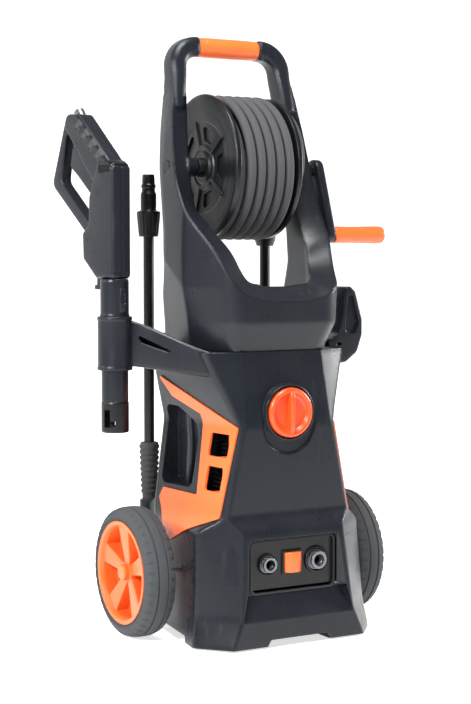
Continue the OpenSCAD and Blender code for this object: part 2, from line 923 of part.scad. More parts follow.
module pinion() {
    color(steel) translate([0, motor_y, gear_z]) rotate(180 / teeth_small) gear(teeth_small, shaft_d);
}

module reduction_gear() {
    color(steel) translate([0, pump_y, gear_z]) gear(teeth_big, 14);
}

module wobble_plate() {
    color(steel) translate([0, pump_y, 0]) difference() {
        union() {
            translate([0, 0, plate_z]) rotate([0, plate_tilt, 0]) cylinder(h = 8, d = plate_d, center = true);
            rod_z(24, plate_z, gear_z, 0, 0);
            rod_z(14, gear_z - over, case_z + case_t - 1, 0, 0);
        }
        rod_z(4, plate_z + 10, 300, 0, 0);
    }
}

module gear_case() {
    color(alloy) difference() {
        union() {
            translate([0, 0, case_z]) linear_extrude(case_t)
                polygon(mirrored([[40, pump_y - 46], [54, pump_y - 20], [66, motor_y], [50, motor_y + 50]]));
            for (x = [-46, 46]) rod_z(12, tray_z + 4 + tray_t, case_z + 1, x, motor_y + 42);
        }
        rod_z(14 + 2 * run, 0, 300, 0, pump_y);
        rod_z(shaft_d + 2 * run, 0, 300, 0, motor_y);
    }
}

function piston_at(k) = let (a = 90 + 120 * k) [piston_ring * cos(a), pump_y + piston_ring * sin(a)];

module pump_block() {
    color(alloy) difference() {
        union() {
            rod_z(2 * piston_ring + piston_d + 20, block_z0, block_z1, 0, pump_y);
            block(-58, 58, pump_y - 46, pump_y - 20, port_z - 22, port_z + 16);
            for (x = [-40, 0, 40]) rod_z(14, tray_z + 4 + tray_t, block_z0 + 30, x, pump_y - (x == 0 ? -30 : 32));
        }
        for (k = [0:2]) translate([0, 0, block_z0 + 6])
            rod_z(piston_d + 2 * run, 0, 200, piston_at(k)[0], piston_at(k)[1]);
        for (x = [-port_x, port_x]) rod_y(8, -200, pump_y - 26, x, port_z);
        rod_z(2 * (piston_ring + piston_d / 2 + 5), block_z1, 300, 0, pump_y);
    }
}

module piston(k) {
    p = piston_at(k);
    color(steel) union() {
        rod_z(piston_d, block_z0 + 20, piston_top, p[0], p[1]);
        rod_z(piston_d + 6, piston_top - piston_head, piston_top, p[0], p[1]);
    }
}

module piston_1() {
    piston(0);
}

module piston_2() {
    piston(1);
}

module piston_3() {
    piston(2);
}

// A round wire swept along a helix
module helix(r, wire, z0, z1, turns) {
    rings = turns * 14;
    n = 6;
    slope = (z1 - z0 - wire) / rings;
    points = [for (i = [0:rings]) let (a = i * 360 / 14) for (k = [0:n - 1]) let (b = k * 60)
        [(r + wire / 2 * cos(b)) * cos(a), (r + wire / 2 * cos(b)) * sin(a),
        z0 + wire / 2 + slope * i + wire / 2 * sin(b)]];
    sides = [for (i = [0:rings - 1]) for (k = [0:n - 1]) let (a = i * n + k, b = i * n + (k + 1) % n)
        each [[a, a + n, b + n], [a, b + n, b]]];
    polyhedron(points, concat([[for (k = [0:n - 1]) k]], sides, [[for (k = [n - 1:-1:0]) rings * n + k]]));
}

module piston_spring(k) {
    p = piston_at(k);
    color(steel) translate([p[0], p[1], 0])
        helix(piston_d / 2 + 1.6, 2, block_z1 + 0.1, piston_top - piston_head - 0.1, 4);
}

module piston_spring_1() {
    piston_spring(0);
}

module piston_spring_2() {
    piston_spring(1);
}

module piston_spring_3() {
    piston_spring(2);
}

module pressure_switch() {
    color(black) union() {
        block(-70, -62, pump_y - 30, pump_y, 84, 130);
        block(-78, -70, pump_y - 26, pump_y - 6, 92, 122);
    }
}

module cable_gland() {
    color(black) difference() {
        union() {
            rod_y(19, 78, 102, 0, 60);
            rod_y(26, 89, 94, 0, 60);
        }
        rod_y(9, 74, 114, 0, 60);
    }
}

module cover_screws() {
    color(steel) for (x = [-70, 70]) for (z = [60, 200, 330]) rod_y(8, 89.5, 93, x, z);
}

base_tray();
front_cover();
rear_cover();
side_panel_left();
side_panel_right();
handle_frame();
handle_grip();
port_panel();
inlet_fitting();
outlet_fitting();
release_button();
switch_knob();
switch_box();
rubber_feet();
gun_holster();
cable_hook();
lance_rack();
axle();
tyre_left();
tyre_right();
rim_left();
rim_right();
reel_drum();
reel_flange_left();
reel_flange_right();
wound_hose();
hose_end_fitting();
crank_arm();
crank_knob();
gun_shell_left();
gun_shell_right();
gun_valve();
gun_barrel();
gun_inlet();
gun_collar();
gun_trigger();
trigger_lock();
vario_tube();
vario_grip();
vario_nozzle();
turbo_tube();
turbo_grip();
turbo_nozzle();
motor_housing();
stator();
rotor();
pinion();
reduction_gear();
wobble_plate();
gear_case();
pump_block();
piston_1();
piston_2();
piston_3();
piston_spring_1();
piston_spring_2();
piston_spring_3();
pressure_switch();
cable_gland();
cover_screws();
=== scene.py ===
"""Looks of an upright pressure washer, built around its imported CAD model.

Shapes are worked out in millimetres, in the CAD model's own frame, and become metres when an object is
made. Each class holds one sub-assembly: its sizes are fields and its methods build and dress its pieces.
"""

import json
import logging
import math
from collections.abc import Callable, Sequence
from dataclasses import dataclass, field, replace
from enum import Enum

import bpy
import numpy as np
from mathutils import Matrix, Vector
from mathutils.geometry import tessellate_polygon

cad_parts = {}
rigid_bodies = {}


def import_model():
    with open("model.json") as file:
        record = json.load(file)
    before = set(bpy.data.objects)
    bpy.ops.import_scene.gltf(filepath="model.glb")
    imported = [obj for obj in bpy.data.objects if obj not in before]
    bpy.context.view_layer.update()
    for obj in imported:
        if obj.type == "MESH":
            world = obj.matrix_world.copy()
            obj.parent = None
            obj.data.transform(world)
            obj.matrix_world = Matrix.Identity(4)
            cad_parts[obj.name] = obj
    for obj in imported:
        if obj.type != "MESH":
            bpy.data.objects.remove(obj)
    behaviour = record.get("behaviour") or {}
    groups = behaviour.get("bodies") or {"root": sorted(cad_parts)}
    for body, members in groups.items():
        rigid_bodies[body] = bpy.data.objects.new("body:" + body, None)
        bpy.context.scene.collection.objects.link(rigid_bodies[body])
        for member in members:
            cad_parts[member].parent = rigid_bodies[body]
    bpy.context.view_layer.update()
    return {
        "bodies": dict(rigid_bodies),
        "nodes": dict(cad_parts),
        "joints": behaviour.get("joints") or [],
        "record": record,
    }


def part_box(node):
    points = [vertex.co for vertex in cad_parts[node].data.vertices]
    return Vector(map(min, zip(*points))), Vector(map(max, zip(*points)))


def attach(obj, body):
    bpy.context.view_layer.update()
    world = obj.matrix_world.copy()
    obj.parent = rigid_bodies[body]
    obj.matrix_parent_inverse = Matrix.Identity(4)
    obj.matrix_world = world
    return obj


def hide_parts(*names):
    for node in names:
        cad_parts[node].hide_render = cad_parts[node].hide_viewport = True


log = logging.getLogger("washer")
Array = np.ndarray
Table = tuple[tuple[float, float], ...]
MM = 0.001
TAU = 2 * math.pi
HOSE_SIDES = 16
BEVEL_SAMPLES = 4
DUST_COLOUR = (0.42, 0.4, 0.37)
ROUGH_SPREAD = 0.045


class Axis(Enum):
    """The axis that an outline is drawn out along, or that a profile turns about."""

    X = 0
    Y = 1
    Z = 2


# ---- Outlines and surfaces ----


def fillet(corners: Sequence | Array, radius: float | Array, steps: int = 6, closed: bool = True) -> Array:
    """Rounds an outline's corners.

    Each corner becomes a circular arc that touches both of its sides: a rational quadratic curve whose
    middle weight is the sine of half the corner's angle, which is exactly a circle.

    Args:
        corners: Points of the outline, (..., n, 2) or (..., n, 3).
        radius: Radius of the arcs, one for all or one for each corner.
        steps: Points on each arc.
        closed: False where the two end points stay as they are.

    Returns:
        The rounded outline, with steps points for each corner.
    """
    c = np.asarray(corners, float)
    u, v = np.roll(c, 1, -2) - c, np.roll(c, -1, -2) - c
    lu, lv = np.linalg.norm(u, axis=-1, keepdims=True), np.linalg.norm(v, axis=-1, keepdims=True)
    u, v = u / np.maximum(lu, 1e-9), v / np.maximum(lv, 1e-9)
    half = 0.5 * np.arccos(np.clip((u * v).sum(-1, keepdims=True), -1, 1))
    r = np.broadcast_to(np.asarray(radius, float), c.shape[:-1])[..., None]
    reach = np.minimum(r / np.tan(np.maximum(half, 1e-3)), 0.46 * np.minimum(lu, lv))
    reach = np.maximum(reach, 0.04)
    w = np.sin(half)[..., None, :]
    s = np.linspace(0, 1, steps)[:, None]
    start, end, mid = (c + u * reach)[..., None, :], (c + v * reach)[..., None, :], c[..., None, :]
    arcs = (1 - s) ** 2 * start + 2 * s * (1 - s) * w * mid + s**2 * end
    arcs = arcs / ((1 - s) ** 2 + 2 * s * (1 - s) * w + s**2)
    if closed:
        return arcs.reshape(*c.shape[:-2], -1, c.shape[-1])
    inner = arcs[..., 1:-1, :, :].reshape(*c.shape[:-2], -1, c.shape[-1])
    return np.concatenate([c[..., :1, :], inner, c[..., -1:, :]], -2)


def box_outline(a0: float, a1: float, b0: float, b1: float) -> Array:
    """Corners of a rectangle, counter-clockwise."""
    return np.array([(a0, b0), (a1, b0), (a1, b1), (a0, b1)], float)


def rounded_box(a0: float, a1: float, b0: float, b1: float, radius: float) -> Array:
    """A rectangle with rounded corners."""
    return fillet(box_outline(a0, a1, b0, b1), radius)


def inset(ring: Array, distance: float) -> Array:
    """Moves a closed outline to its left by a distance, along the mitred normal of each point."""
    edge = np.roll(ring, -1, 0) - ring
    normal = np.stack([-edge[:, 1], edge[:, 0]], 1) / np.maximum(np.linalg.norm(edge, axis=1), 1e-9)[:, None]
    mean = normal + np.roll(normal, 1, 0)
    return ring + mean * (2 * distance / np.maximum((mean**2).sum(1), 0.5))[:, None]


def place(a: Array, b: Array, w: Array, axis: Axis) -> Array:
    """Points whose outline coordinates are a and b and whose place along the axis is w."""
    order = {Axis.X: (w, a, b), Axis.Y: (a, w, b), Axis.Z: (a, b, w)}[axis]
    return np.stack(np.broadcast_arrays(*order), -1)


def quads(rows: int, cols: int, wrap_rows: bool = False, wrap_cols: bool = True) -> Array:
    """Corner numbers of the faces of a grid of points that are numbered row by row."""
    r = np.arange(rows if wrap_rows else rows - 1)[:, None]
    c = np.arange(cols if wrap_cols else cols - 1)[None, :]
    r1, c1 = (r + 1) % rows, (c + 1) % cols
    return np.stack([r * cols + c, r * cols + c1, r1 * cols + c1, r1 * cols + c], -1).reshape(-1, 4)


@dataclass
class Shape:
    """A closed surface in millimetres: its points, four-cornered faces and three-cornered faces."""

    points: Array
    four: Array = field(default_factory=lambda: np.zeros((0, 4), int))
    three: Array = field(default_factory=lambda: np.zeros((0, 3), int))

    def __add__(self, other: "Shape") -> "Shape":
        """Both surfaces as one."""
        n = len(self.points)
        return Shape(
            np.vstack([self.points, other.points]),
            np.vstack([self.four, other.four + n]),
            np.vstack([self.three, other.three + n]),
        )

    def outward(self) -> "Shape":
        """The same surface with its faces outwards: they turn round where the volume inside is negative."""
        t = np.vstack([self.four[:, :3], self.four[:, [0, 2, 3]], self.three])
        a, b, c = (self.points[t[:, k]] for k in range(3))
        if np.einsum("ij,ij->", a, np.cross(b, c)) < 0:
            return Shape(self.points, self.four[:, ::-1], self.three[:, ::-1])
        return self

    def shifted(self, x: float = 0, y: float = 0, z: float = 0) -> "Shape":
        """The surface moved by a distance along each axis."""
        return Shape(self.points + np.array([x, y, z]), self.four, self.three)

    def turned(self, axis: Axis, degrees: float, about: Sequence[float] = (0, 0, 0)) -> "Shape":
        """The surface turned about a line that runs along an axis through a point."""
        i, j = {Axis.X: (1, 2), Axis.Y: (2, 0), Axis.Z: (0, 1)}[axis]
        p = self.points - np.array(about, float)
        ca, sa = math.cos(math.radians(degrees)), math.sin(math.radians(degrees))
        q = p.copy()
        q[:, i], q[:, j] = ca * p[:, i] - sa * p[:, j], sa * p[:, i] + ca * p[:, j]
        return Shape(q + np.array(about, float), self.four, self.three)

    def mirrored(self) -> "Shape":
        """The surface on the other side of the machine's middle plane."""
        return Shape(self.points * np.array([-1, 1, 1]), self.four[:, ::-1], self.three[:, ::-1])


def cap(rings: Sequence[Array], firsts: Sequence[int]) -> Array:
    """Triangles that fill the flat space between an outline and its holes.

    Args:
        rings: The outline and then the holes, as flat points.
        firsts: Number of each ring's first point in the whole surface.

    Returns:
        Corner numbers of the triangles.
    """
    flat = [[Vector((float(p[0]), float(p[1]), 0.0)) for p in ring] for ring in rings]
    numbers = np.concatenate([f + np.arange(len(r)) for f, r in zip(firsts, rings)])
    tri = np.array(tessellate_polygon(flat), int).reshape(-1, 3)
    return numbers[tri]


def loft(rings: Array, flat: tuple[int, int] = (0, 1)) -> Shape:
    """A closed skin over a stack of outlines.

    Args:
        rings: Outlines with the same number of points, (levels, points, 3).
        flat: The two coordinates that the end caps are filled in.

    Returns:
        The skin with its two caps.
    """
    m, n = rings.shape[:2]
    ends = [cap([rings[k][:, list(flat)]], [k * n]) for k in (0, m - 1)]
    return close_caps(Shape(rings.reshape(-1, 3), quads(m, n)), ends)


def close_caps(wall: Shape, caps: Sequence[Array]) -> Shape:
    """Adds caps to a wall, each turned so that its rim edges run against the wall's own."""
    edges = set(map(tuple, np.vstack([wall.four[:, [k, (k + 1) % 4]] for k in range(4)]).tolist()))
    turned = []
    for tri in caps:
        rim = np.vstack([tri[:, [k, (k + 1) % 3]] for k in range(3)]).tolist()
        same = sum(tuple(e) in edges for e in rim)
        against = sum((e[1], e[0]) in edges for e in rim)
        turned.append(tri[:, ::-1] if same > against else tri)
    return Shape(wall.points, wall.four, np.vstack([wall.three, *turned])).outward()


def prism(outline: Array, low: float, high: float, axis: Axis, rim: float = 1.0,
          holes: Sequence[Array] = (), steps: int = 3) -> Shape:
    """An outline drawn out along an axis, with rounded rims.

    Each rim is a quarter circle: at angle t the wall stands rim times (1 minus sine t) inside the outline
    and rim times (1 minus cosine t) from the end.

    Args:
        outline: Closed outline, counter-clockwise.
        low: Place of one end along the axis.
        high: Place of the other end.
        axis: The axis that it is drawn along.
        rim: Radius of the rims.
        holes: Closed outlines of the holes, clockwise.
        steps: Rings in each rim.

    Returns:
        The solid's skin.
    """
    t = np.linspace(0, math.pi / 2, steps + 1) if rim > 0 else np.array([math.pi / 2])
    depth = np.concatenate([rim * (1 - np.sin(t)), rim * (1 - np.sin(t[::-1]))])
    level = np.concatenate([low + rim * (1 - np.cos(t)), high - rim * (1 - np.cos(t[::-1]))])
    shape, firsts, rings, n = None, [], [], 0
    for ring in (outline, *holes):
        grid = np.stack([place(*inset(ring, d).T, np.full(len(ring), w), axis) for d, w in zip(depth, level)])
        part = Shape(grid.reshape(-1, 3), quads(len(depth), len(ring)))
        shape = part if shape is None else shape + part
        firsts.append(n)
        rings.append(inset(ring, depth[0]))
        n += part.points.shape[0]
    tops = [f + (len(depth) - 1) * len(r) for f, r in zip(firsts, rings)]
    return close_caps(shape, [cap(rings, firsts), cap(rings, tops)])


def turning(profile: Array, centre: Sequence[float], axis: Axis, count: int = 96, closed: bool = False,
            wave: Callable[[Array, Array], Array] | None = None) -> Shape:
    """A profile turned about an axis.

    Args:
        profile: Radius and place along the axis of each point, (n, 2).
        centre: A point that the axis runs through.
        axis: The axis.
        count: Points round the axis.
        closed: True where the profile is a closed outline, as on a ring.
        wave: Adds to the radius at an angle and a place along the axis.

    Returns:
        The turned skin, with flat caps where the profile is open.
    """
    angle = np.arange(count) / count * TAU
    radius, along = np.broadcast_to(profile[:, :1], (len(profile), count)), profile[:, 1:]
    if wave is not None:
        radius = radius + wave(angle[None, :], along)
    points = place(radius * np.cos(angle), radius * np.sin(angle), along, axis) + np.array(centre, float)
    wall = Shape(points.reshape(-1, 3), quads(len(profile), count, wrap_rows=closed))
    if closed:
        return wall.outward()
    ring = np.stack([np.cos(angle), np.sin(angle)], 1)
    return close_caps(wall, [cap([ring * radius[0].mean()], [0]), cap([ring], [(len(profile) - 1) * count])])


def rod(radius: float, low: float, high: float, centre: Sequence[float], axis: Axis, count: int = 32) -> Shape:
    """A plain round bar between two places along an axis."""
    return turning(np.array([(radius, low), (radius, high)]), centre, axis, count)


def sweep(path: Array, section: Array, side: Sequence[float], ends: tuple[float, float] = (0, 0),
          flare: Array | None = None) -> Shape:
    """An outline carried along a path.

    The outline's first coordinate lies along the side direction with the path's own direction taken out
    of it, and the second along their cross product. Near a rounded end the outline shrinks as a quarter
    circle does.

    Args:
        path: Points of the middle line, (m, 3).
        section: Closed outline about the middle line, (n, 2).
        side: Direction that the outline's first coordinate keeps to.
        ends: Radius of the rounding at the start and at the end.
        flare: Scale of the outline at each point of the path, (m,) or (m, 2).

    Returns:
        The swept skin with its caps.
    """
    path = np.asarray(path, float)
    scale = np.ones((len(path), 2)) if flare is None else np.asarray(flare, float).reshape(len(path), -1)
    scale = np.broadcast_to(scale, (len(path), 2)).copy()
    tangent = np.gradient(path, axis=0)
    tangent /= np.linalg.norm(tangent, axis=1, keepdims=True)
    half = np.abs(section).max(0)
    for end, r in ((0, ends[0]), (-1, ends[1])):
        if r > 0:
            t = np.linspace(0, math.pi / 2, 5)[:-1]
            out = (1 if end == -1 else -1) * tangent[end] * r
            near = path[end] - out + out * np.cos(t)[:, None]
            small = scale[end] * (half - r * (1 - np.sin(t))[:, None]) / half
            path[end] = path[end] - out
            rows = (near, small, np.repeat(tangent[[end]], len(t), 0))
            if end == 0:
                path, scale, tangent = (np.vstack([a, b]) for a, b in zip(rows, (path, scale, tangent)))
            else:
                path, scale, tangent = (np.vstack([b, a[::-1]]) for a, b in zip(rows, (path, scale, tangent)))
    first = np.array(side, float) - (tangent @ np.array(side, float))[:, None] * tangent
    first /= np.linalg.norm(first, axis=1, keepdims=True)
    second = np.cross(tangent, first)
    grid = (path[:, None] + first[:, None] * section[None, :, :1] * scale[:, None, :1]
            + second[:, None] * section[None, :, 1:] * scale[:, None, 1:])
    m, n = grid.shape[:2]
    ends_ = [cap([section * scale[k]], [k % m * n]) for k in (0, m - 1)]
    return close_caps(Shape(grid.reshape(-1, 3), quads(m, n)), ends_)


def circle(radius: float, count: int = 16) -> Array:
    """Points of a circle, counter-clockwise."""
    a = np.arange(count) / count * TAU
    return radius * np.stack([np.cos(a), np.sin(a)], 1)


def densify(points: Sequence | Array, step: float) -> Array:
    """Points no further apart than step along a line through the given points."""
    p = np.asarray(points, float)
    length = np.concatenate([[0], np.cumsum(np.linalg.norm(np.diff(p, axis=0), axis=1))])
    s = np.unique(np.concatenate([np.linspace(0, length[-1], max(2, int(length[-1] / step) + 1)), length]))
    return np.stack([np.interp(s, length, p[:, k]) for k in range(p.shape[1])], 1)


# ---- Finishes ----


class Grain(Enum):
    """How a surface's fine pattern lies."""

    SPARK = "even fine texture of a spark-eroded mould"
    DRAWN = "lines along one axis, as on drawn or brushed metal"
    CAST = "coarse skin of cast metal"
    BRAID = "faint crossed ribs of a braided hose"
    COIL = "close turns of enamelled wire"


@dataclass(frozen=True)
class Finish:
    """A material's colours and the sizes of its pattern, from which its nodes are made."""

    name: str
    colour: tuple[float, float, float]
    rough: float = 0.45
    metal: float = 0.0
    grain: Grain = Grain.SPARK
    grain_mm: float = 0.55
    grain_depth: float = 0.12
    edge_mm: float = 1.2
    wear: float = 0.25
    mottle: float = 0.08
    dust: float = 0.05
    coat: float = 0.0
    specular: float = 0.5

    def material(self) -> bpy.types.Material:
        """The finish's material, made once."""
        found = bpy.data.materials.get(self.name)
        return found or self._make()

    def _make(self) -> bpy.types.Material:
        """Builds the nodes: mottled colour, worn and dusty parts, uneven gloss, and a fine bump."""
        mat = bpy.data.materials.new(self.name)
        mat.use_nodes = True
        tree = mat.node_tree
        shader = tree.nodes["Principled BSDF"]
        shader.inputs["Metallic"].default_value = self.metal
        shader.inputs["Specular IOR Level"].default_value = self.specular
        shader.inputs["Coat Weight"].default_value = self.coat
        shader.inputs["Coat Roughness"].default_value = 0.2
        where = tree.nodes.new("ShaderNodeTexCoord").outputs["Object"]

        def noise(size_mm: float, detail: float = 3.0, stretch: tuple[float, float, float] = (1, 1, 1)):
            """Noise whose features are size_mm across, drawn out by stretch along each axis."""
            mapping = tree.nodes.new("ShaderNodeMapping")
            mapping.inputs["Scale"].default_value = [1 / (size_mm * MM * s) for s in stretch]
            texture = tree.nodes.new("ShaderNodeTexNoise")
            texture.inputs["Scale"].default_value = 1.0
            texture.inputs["Detail"].default_value = detail
            tree.links.new(where, mapping.inputs["Vector"])
            tree.links.new(mapping.outputs["Vector"], texture.inputs["Vector"])
            return texture.outputs["Fac"]

        def span(value, low: float, high: float, to_low: float, to_high: float):
            """The value carried from one range to another and kept inside it."""
            node = tree.nodes.new("ShaderNodeMapRange")
            for key, number in zip(("From Min", "From Max", "To Min", "To Max"), (low, high, to_low, to_high)):
                node.inputs[key].default_value = number
            tree.links.new(value, node.inputs["Value"])
            return node.outputs["Result"]

        def math_node(kind: str, a, b):
            """Two values joined by a sum, a product and so on."""
            node = tree.nodes.new("ShaderNodeMath")
            node.operation = kind
            for socket, value in zip(node.inputs, (a, b)):
                if isinstance(value, (int, float)):
                    socket.default_value = value
                else:
                    tree.links.new(value, socket)
            return node.outputs[0]

        def blend(fac, a, b):
            """A colour mixed from a to b by fac."""
            node = tree.nodes.new("ShaderNodeMix")
            node.data_type = "RGBA"
            tree.links.new(fac, node.inputs["Factor"])
            for socket, value in ((node.inputs[6], a), (node.inputs[7], b)):
                if isinstance(value, tuple):
                    socket.default_value = (*value, 1)
                else:
                    tree.links.new(value, socket)
            return node.outputs[2]

        tint = np.array(self.colour)
        dark = tuple(float(x) for x in tint * (1 - self.mottle))
        light = tuple(float(x) for x in np.minimum(tint * (1 + self.mottle), 1))
        colour = blend(span(noise(38, 4), 0.3, 0.7, 0, 1), dark, light)
        bevel = tree.nodes.new("ShaderNodeBevel")
        bevel.samples = BEVEL_SAMPLES
        bevel.inputs["Radius"].default_value = self.edge_mm * MM
        geometry = tree.nodes.new("ShaderNodeNewGeometry")
        dot = tree.nodes.new("ShaderNodeVectorMath")
        dot.operation = "DOT_PRODUCT"
        tree.links.new(bevel.outputs["Normal"], dot.inputs[0])
        tree.links.new(geometry.outputs["Normal"], dot.inputs[1])
        edge = span(dot.outputs["Value"], 0.985, 0.86, 0, 1)
        worn = math_node("MULTIPLY", edge, span(noise(5, 5), 0.42, 0.62, 0, self.wear))
        pale = tuple(float(x) for x in (tint * 1.5 + 0.06 if self.metal == 0 else tint * 1.15).clip(0, 1))
        colour = blend(worn, colour, pale)
        facing = tree.nodes.new("ShaderNodeSeparateXYZ")
        tree.links.new(geometry.outputs["Normal"], facing.inputs[0])
        settled = math_node("MULTIPLY", span(facing.outputs["Z"], 0.55, 1, 0, self.dust),
                            span(noise(14, 6), 0.35, 0.7, 0.3, 1))
        colour = blend(settled, colour, DUST_COLOUR)
        tree.links.new(colour, shader.inputs["Base Color"])
        scuffs = span(noise(9, 5, (1, 1, 6)), 0.57, 0.72, 0, 0.12)
        rough = span(noise(55, 3), 0.3, 0.7, self.rough - ROUGH_SPREAD, self.rough + ROUGH_SPREAD)
        rough = math_node("ADD", math_node("ADD", rough, scuffs), math_node("MULTIPLY", settled, 0.8))
        tree.links.new(rough, shader.inputs["Roughness"])
        bump = tree.nodes.new("ShaderNodeBump")
        bump.inputs["Strength"].default_value = self.grain_depth
        bump.inputs["Distance"].default_value = self.grain_mm * MM * 0.5
        tree.links.new(self._height(tree, where, noise, math_node), bump.inputs["Height"])
        tree.links.new(bevel.outputs["Normal"], bump.inputs["Normal"])
        tree.links.new(bump.outputs["Normal"], shader.inputs["Normal"])
        return mat

    def _height(self, tree, where, noise, math_node):
        """The value that drives the bump, by the kind of grain."""
        if self.grain is Grain.DRAWN:
            return noise(self.grain_mm, 2, (1, 1, 40))
        if self.grain is Grain.CAST:
            return math_node("ADD", noise(self.grain_mm * 3, 4), noise(self.grain_mm, 2))
        if self.grain is Grain.SPARK:
            return noise(self.grain_mm, 2)
        coords = tree.nodes.new("ShaderNodeUVMap") if self.grain is Grain.BRAID else None
        wave = tree.nodes.new("ShaderNodeTexWave")
        wave.inputs["Scale"].default_value = 0.3 / (self.grain_mm * MM) if coords is None else 1.0
        wave.inputs["Distortion"].default_value = 0.4
        wave.bands_direction = "Z" if coords is None else "DIAGONAL"
        tree.links.new(where if coords is None else coords.outputs["UV"], wave.inputs["Vector"])
        return wave.outputs["Fac"]


ANTHRACITE = Finish("anthracite_moulding", (0.0085, 0.0102, 0.014), rough=0.3, edge_mm=2.4, wear=0.1, mottle=0.05,
                    dust=0.012, specular=0.27)
FRAME = replace(ANTHRACITE, name="anthracite_frame", edge_mm=7.0)
BLACK = Finish("black_moulding", (0.0045, 0.005, 0.006), rough=0.34, edge_mm=1.0, wear=0.12, dust=0.012, specular=0.3)
ORANGE = Finish("orange_moulding", (0.72, 0.115, 0.017), rough=0.36, edge_mm=1.0, mottle=0.05, wear=0.12, dust=0.02)
KNOB_ORANGE = Finish("knob_orange", (0.78, 0.065, 0.008), rough=0.3, edge_mm=1.0, mottle=0.05, wear=0.1, dust=0.0)
TYRE = Finish("tyre_rubber", (0.006, 0.007, 0.009), rough=0.46, grain_mm=0.9, grain_depth=0.25, wear=0.25, dust=0.03,
              specular=0.16)
SOFT_GRIP = Finish("soft_rubber", (0.012, 0.0125, 0.0145), rough=0.5, grain_mm=0.35, grain_depth=0.3, dust=0.03,
                   specular=0.3)
HOSE = Finish("hose_rubber", (0.004, 0.004, 0.0045), rough=0.24, grain=Grain.BRAID, grain_mm=1.2, grain_depth=0.04,
              edge_mm=0.2, wear=0.0, specular=0.2)
STEEL = Finish("bright_steel", (0.56, 0.57, 0.6), rough=0.26, metal=1.0, grain=Grain.DRAWN, grain_mm=0.3,
               grain_depth=0.1, edge_mm=0.4, dust=0.0)
ZINC = Finish("zinc_plated_steel", (0.5, 0.5, 0.52), rough=0.36, metal=1.0, grain=Grain.SPARK, grain_mm=0.6,
              edge_mm=0.4, dust=0.0)
DARK_STEEL = Finish("dark_steel", (0.16, 0.165, 0.18), rough=0.34, metal=1.0, grain=Grain.DRAWN, grain_mm=0.3,
                    grain_depth=0.1, edge_mm=0.4, dust=0.0)
BRASS = Finish("brass", (0.62, 0.43, 0.17), rough=0.3, metal=1.0, grain=Grain.DRAWN, grain_mm=0.4, grain_depth=0.08,
               edge_mm=0.4, dust=0.0)
ALLOY = Finish("cast_alloy", (0.4, 0.41, 0.43), rough=0.46, metal=1.0, grain=Grain.CAST, grain_mm=0.8,
               grain_depth=0.3, edge_mm=0.6, dust=0.02)
WINDING = Finish("enamelled_winding", (0.45, 0.16, 0.06), rough=0.3, metal=0.6, grain=Grain.COIL, grain_mm=0.9,
                 grain_depth=0.5, edge_mm=0.4, dust=0.0)
SLOT_FINISH = {
    "body_plastic": ANTHRACITE, "black_plastic": BLACK, "orange_plastic": ORANGE, "tyre_rubber": TYRE,
    "soft_rubber": SOFT_GRIP, "hose_rubber": HOSE, "steel": STEEL, "zinc_steel": ZINC, "brass": BRASS,
    "alloy": ALLOY, "winding": WINDING,
}
NODE_FINISH = {"gun_inlet": DARK_STEEL}


# ---- Pieces ----


def raw_object(name: str, shape: Shape) -> bpy.types.Object:
    """A Blender object of a shape, in metres, at the origin."""
    mesh = bpy.data.meshes.new(name)
    mesh.from_pydata((shape.points * MM).tolist(), [], shape.four.tolist() + shape.three.tolist())
    obj = bpy.data.objects.new(name, mesh)
    bpy.context.scene.collection.objects.link(obj)
    return obj


def combine(obj: bpy.types.Object, operation: str, other: Shape | bpy.types.Object) -> None:
    """Joins, cuts or crosses an object with a shape or another object, which is used up.

    The result is kept as the object's own mesh.
    """
    tool = raw_object("tool", other) if isinstance(other, Shape) else other
    modifier = obj.modifiers.new("combine", "BOOLEAN")
    modifier.operation, modifier.object, modifier.solver = operation, tool, "MANIFOLD"
    result = bpy.data.meshes.new_from_object(obj.evaluated_get(bpy.context.evaluated_depsgraph_get()))
    obj.modifiers.remove(modifier)
    old, obj.data = obj.data, result
    bpy.data.meshes.remove(old)
    spare = tool.data
    bpy.data.objects.remove(tool)
    bpy.data.meshes.remove(spare)


def finish_piece(obj: bpy.types.Object, finish: Finish, body: str, replaces: Sequence[str] = (),
                 sharp: float = 32) -> bpy.types.Object:
    """Shades a piece smooth up to an angle, dresses it and ties it to its body.

    Args:
        obj: The piece, already in place.
        finish: Its material.
        body: The CAD body that it moves with.
        replaces: CAD nodes that it stands for.
        sharp: Edges with a greater angle than this, in degrees, stay sharp.

    Returns:
        The piece.
    """
    obj.data.materials.clear()
    obj.data.materials.append(finish.material())
    obj.data.polygons.foreach_set("use_smooth", np.ones(len(obj.data.polygons), bool))
    obj.data.set_sharp_from_angle(angle=math.radians(sharp))
    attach(obj, body)
    if replaces:
        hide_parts(*replaces)
    log.info("%s: %d faces on %s", obj.name, len(obj.data.polygons), body)
    return obj


def piece(name: str, shape: Shape, finish: Finish, body: str, replaces: Sequence[str] = (),
          joined: Sequence[Shape] = (), cut: Sequence[Shape] = (), crossed: Sequence[Shape] = (),
          sharp: float = 32) -> bpy.types.Object:
    """Makes a finished piece from a shape, with others joined to it and cut from it."""
    obj = raw_object(name, shape)
    for operation, group in (("UNION", joined), ("INTERSECT", crossed), ("DIFFERENCE", cut)):
        for other in group:
            combine(obj, operation, other)
    return finish_piece(obj, finish, body, replaces, sharp)


def node_box(name: str) -> tuple[Array, Array]:
    """Lowest and highest corner of a CAD node, in millimetres."""
    low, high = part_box(name)
    return np.array(low) / MM, np.array(high) / MM


def node_centre(name: str) -> Array:
    """Middle of a CAD node's box, in millimetres."""
    low, high = node_box(name)
    return (low + high) / 2


# ---- Stage ----


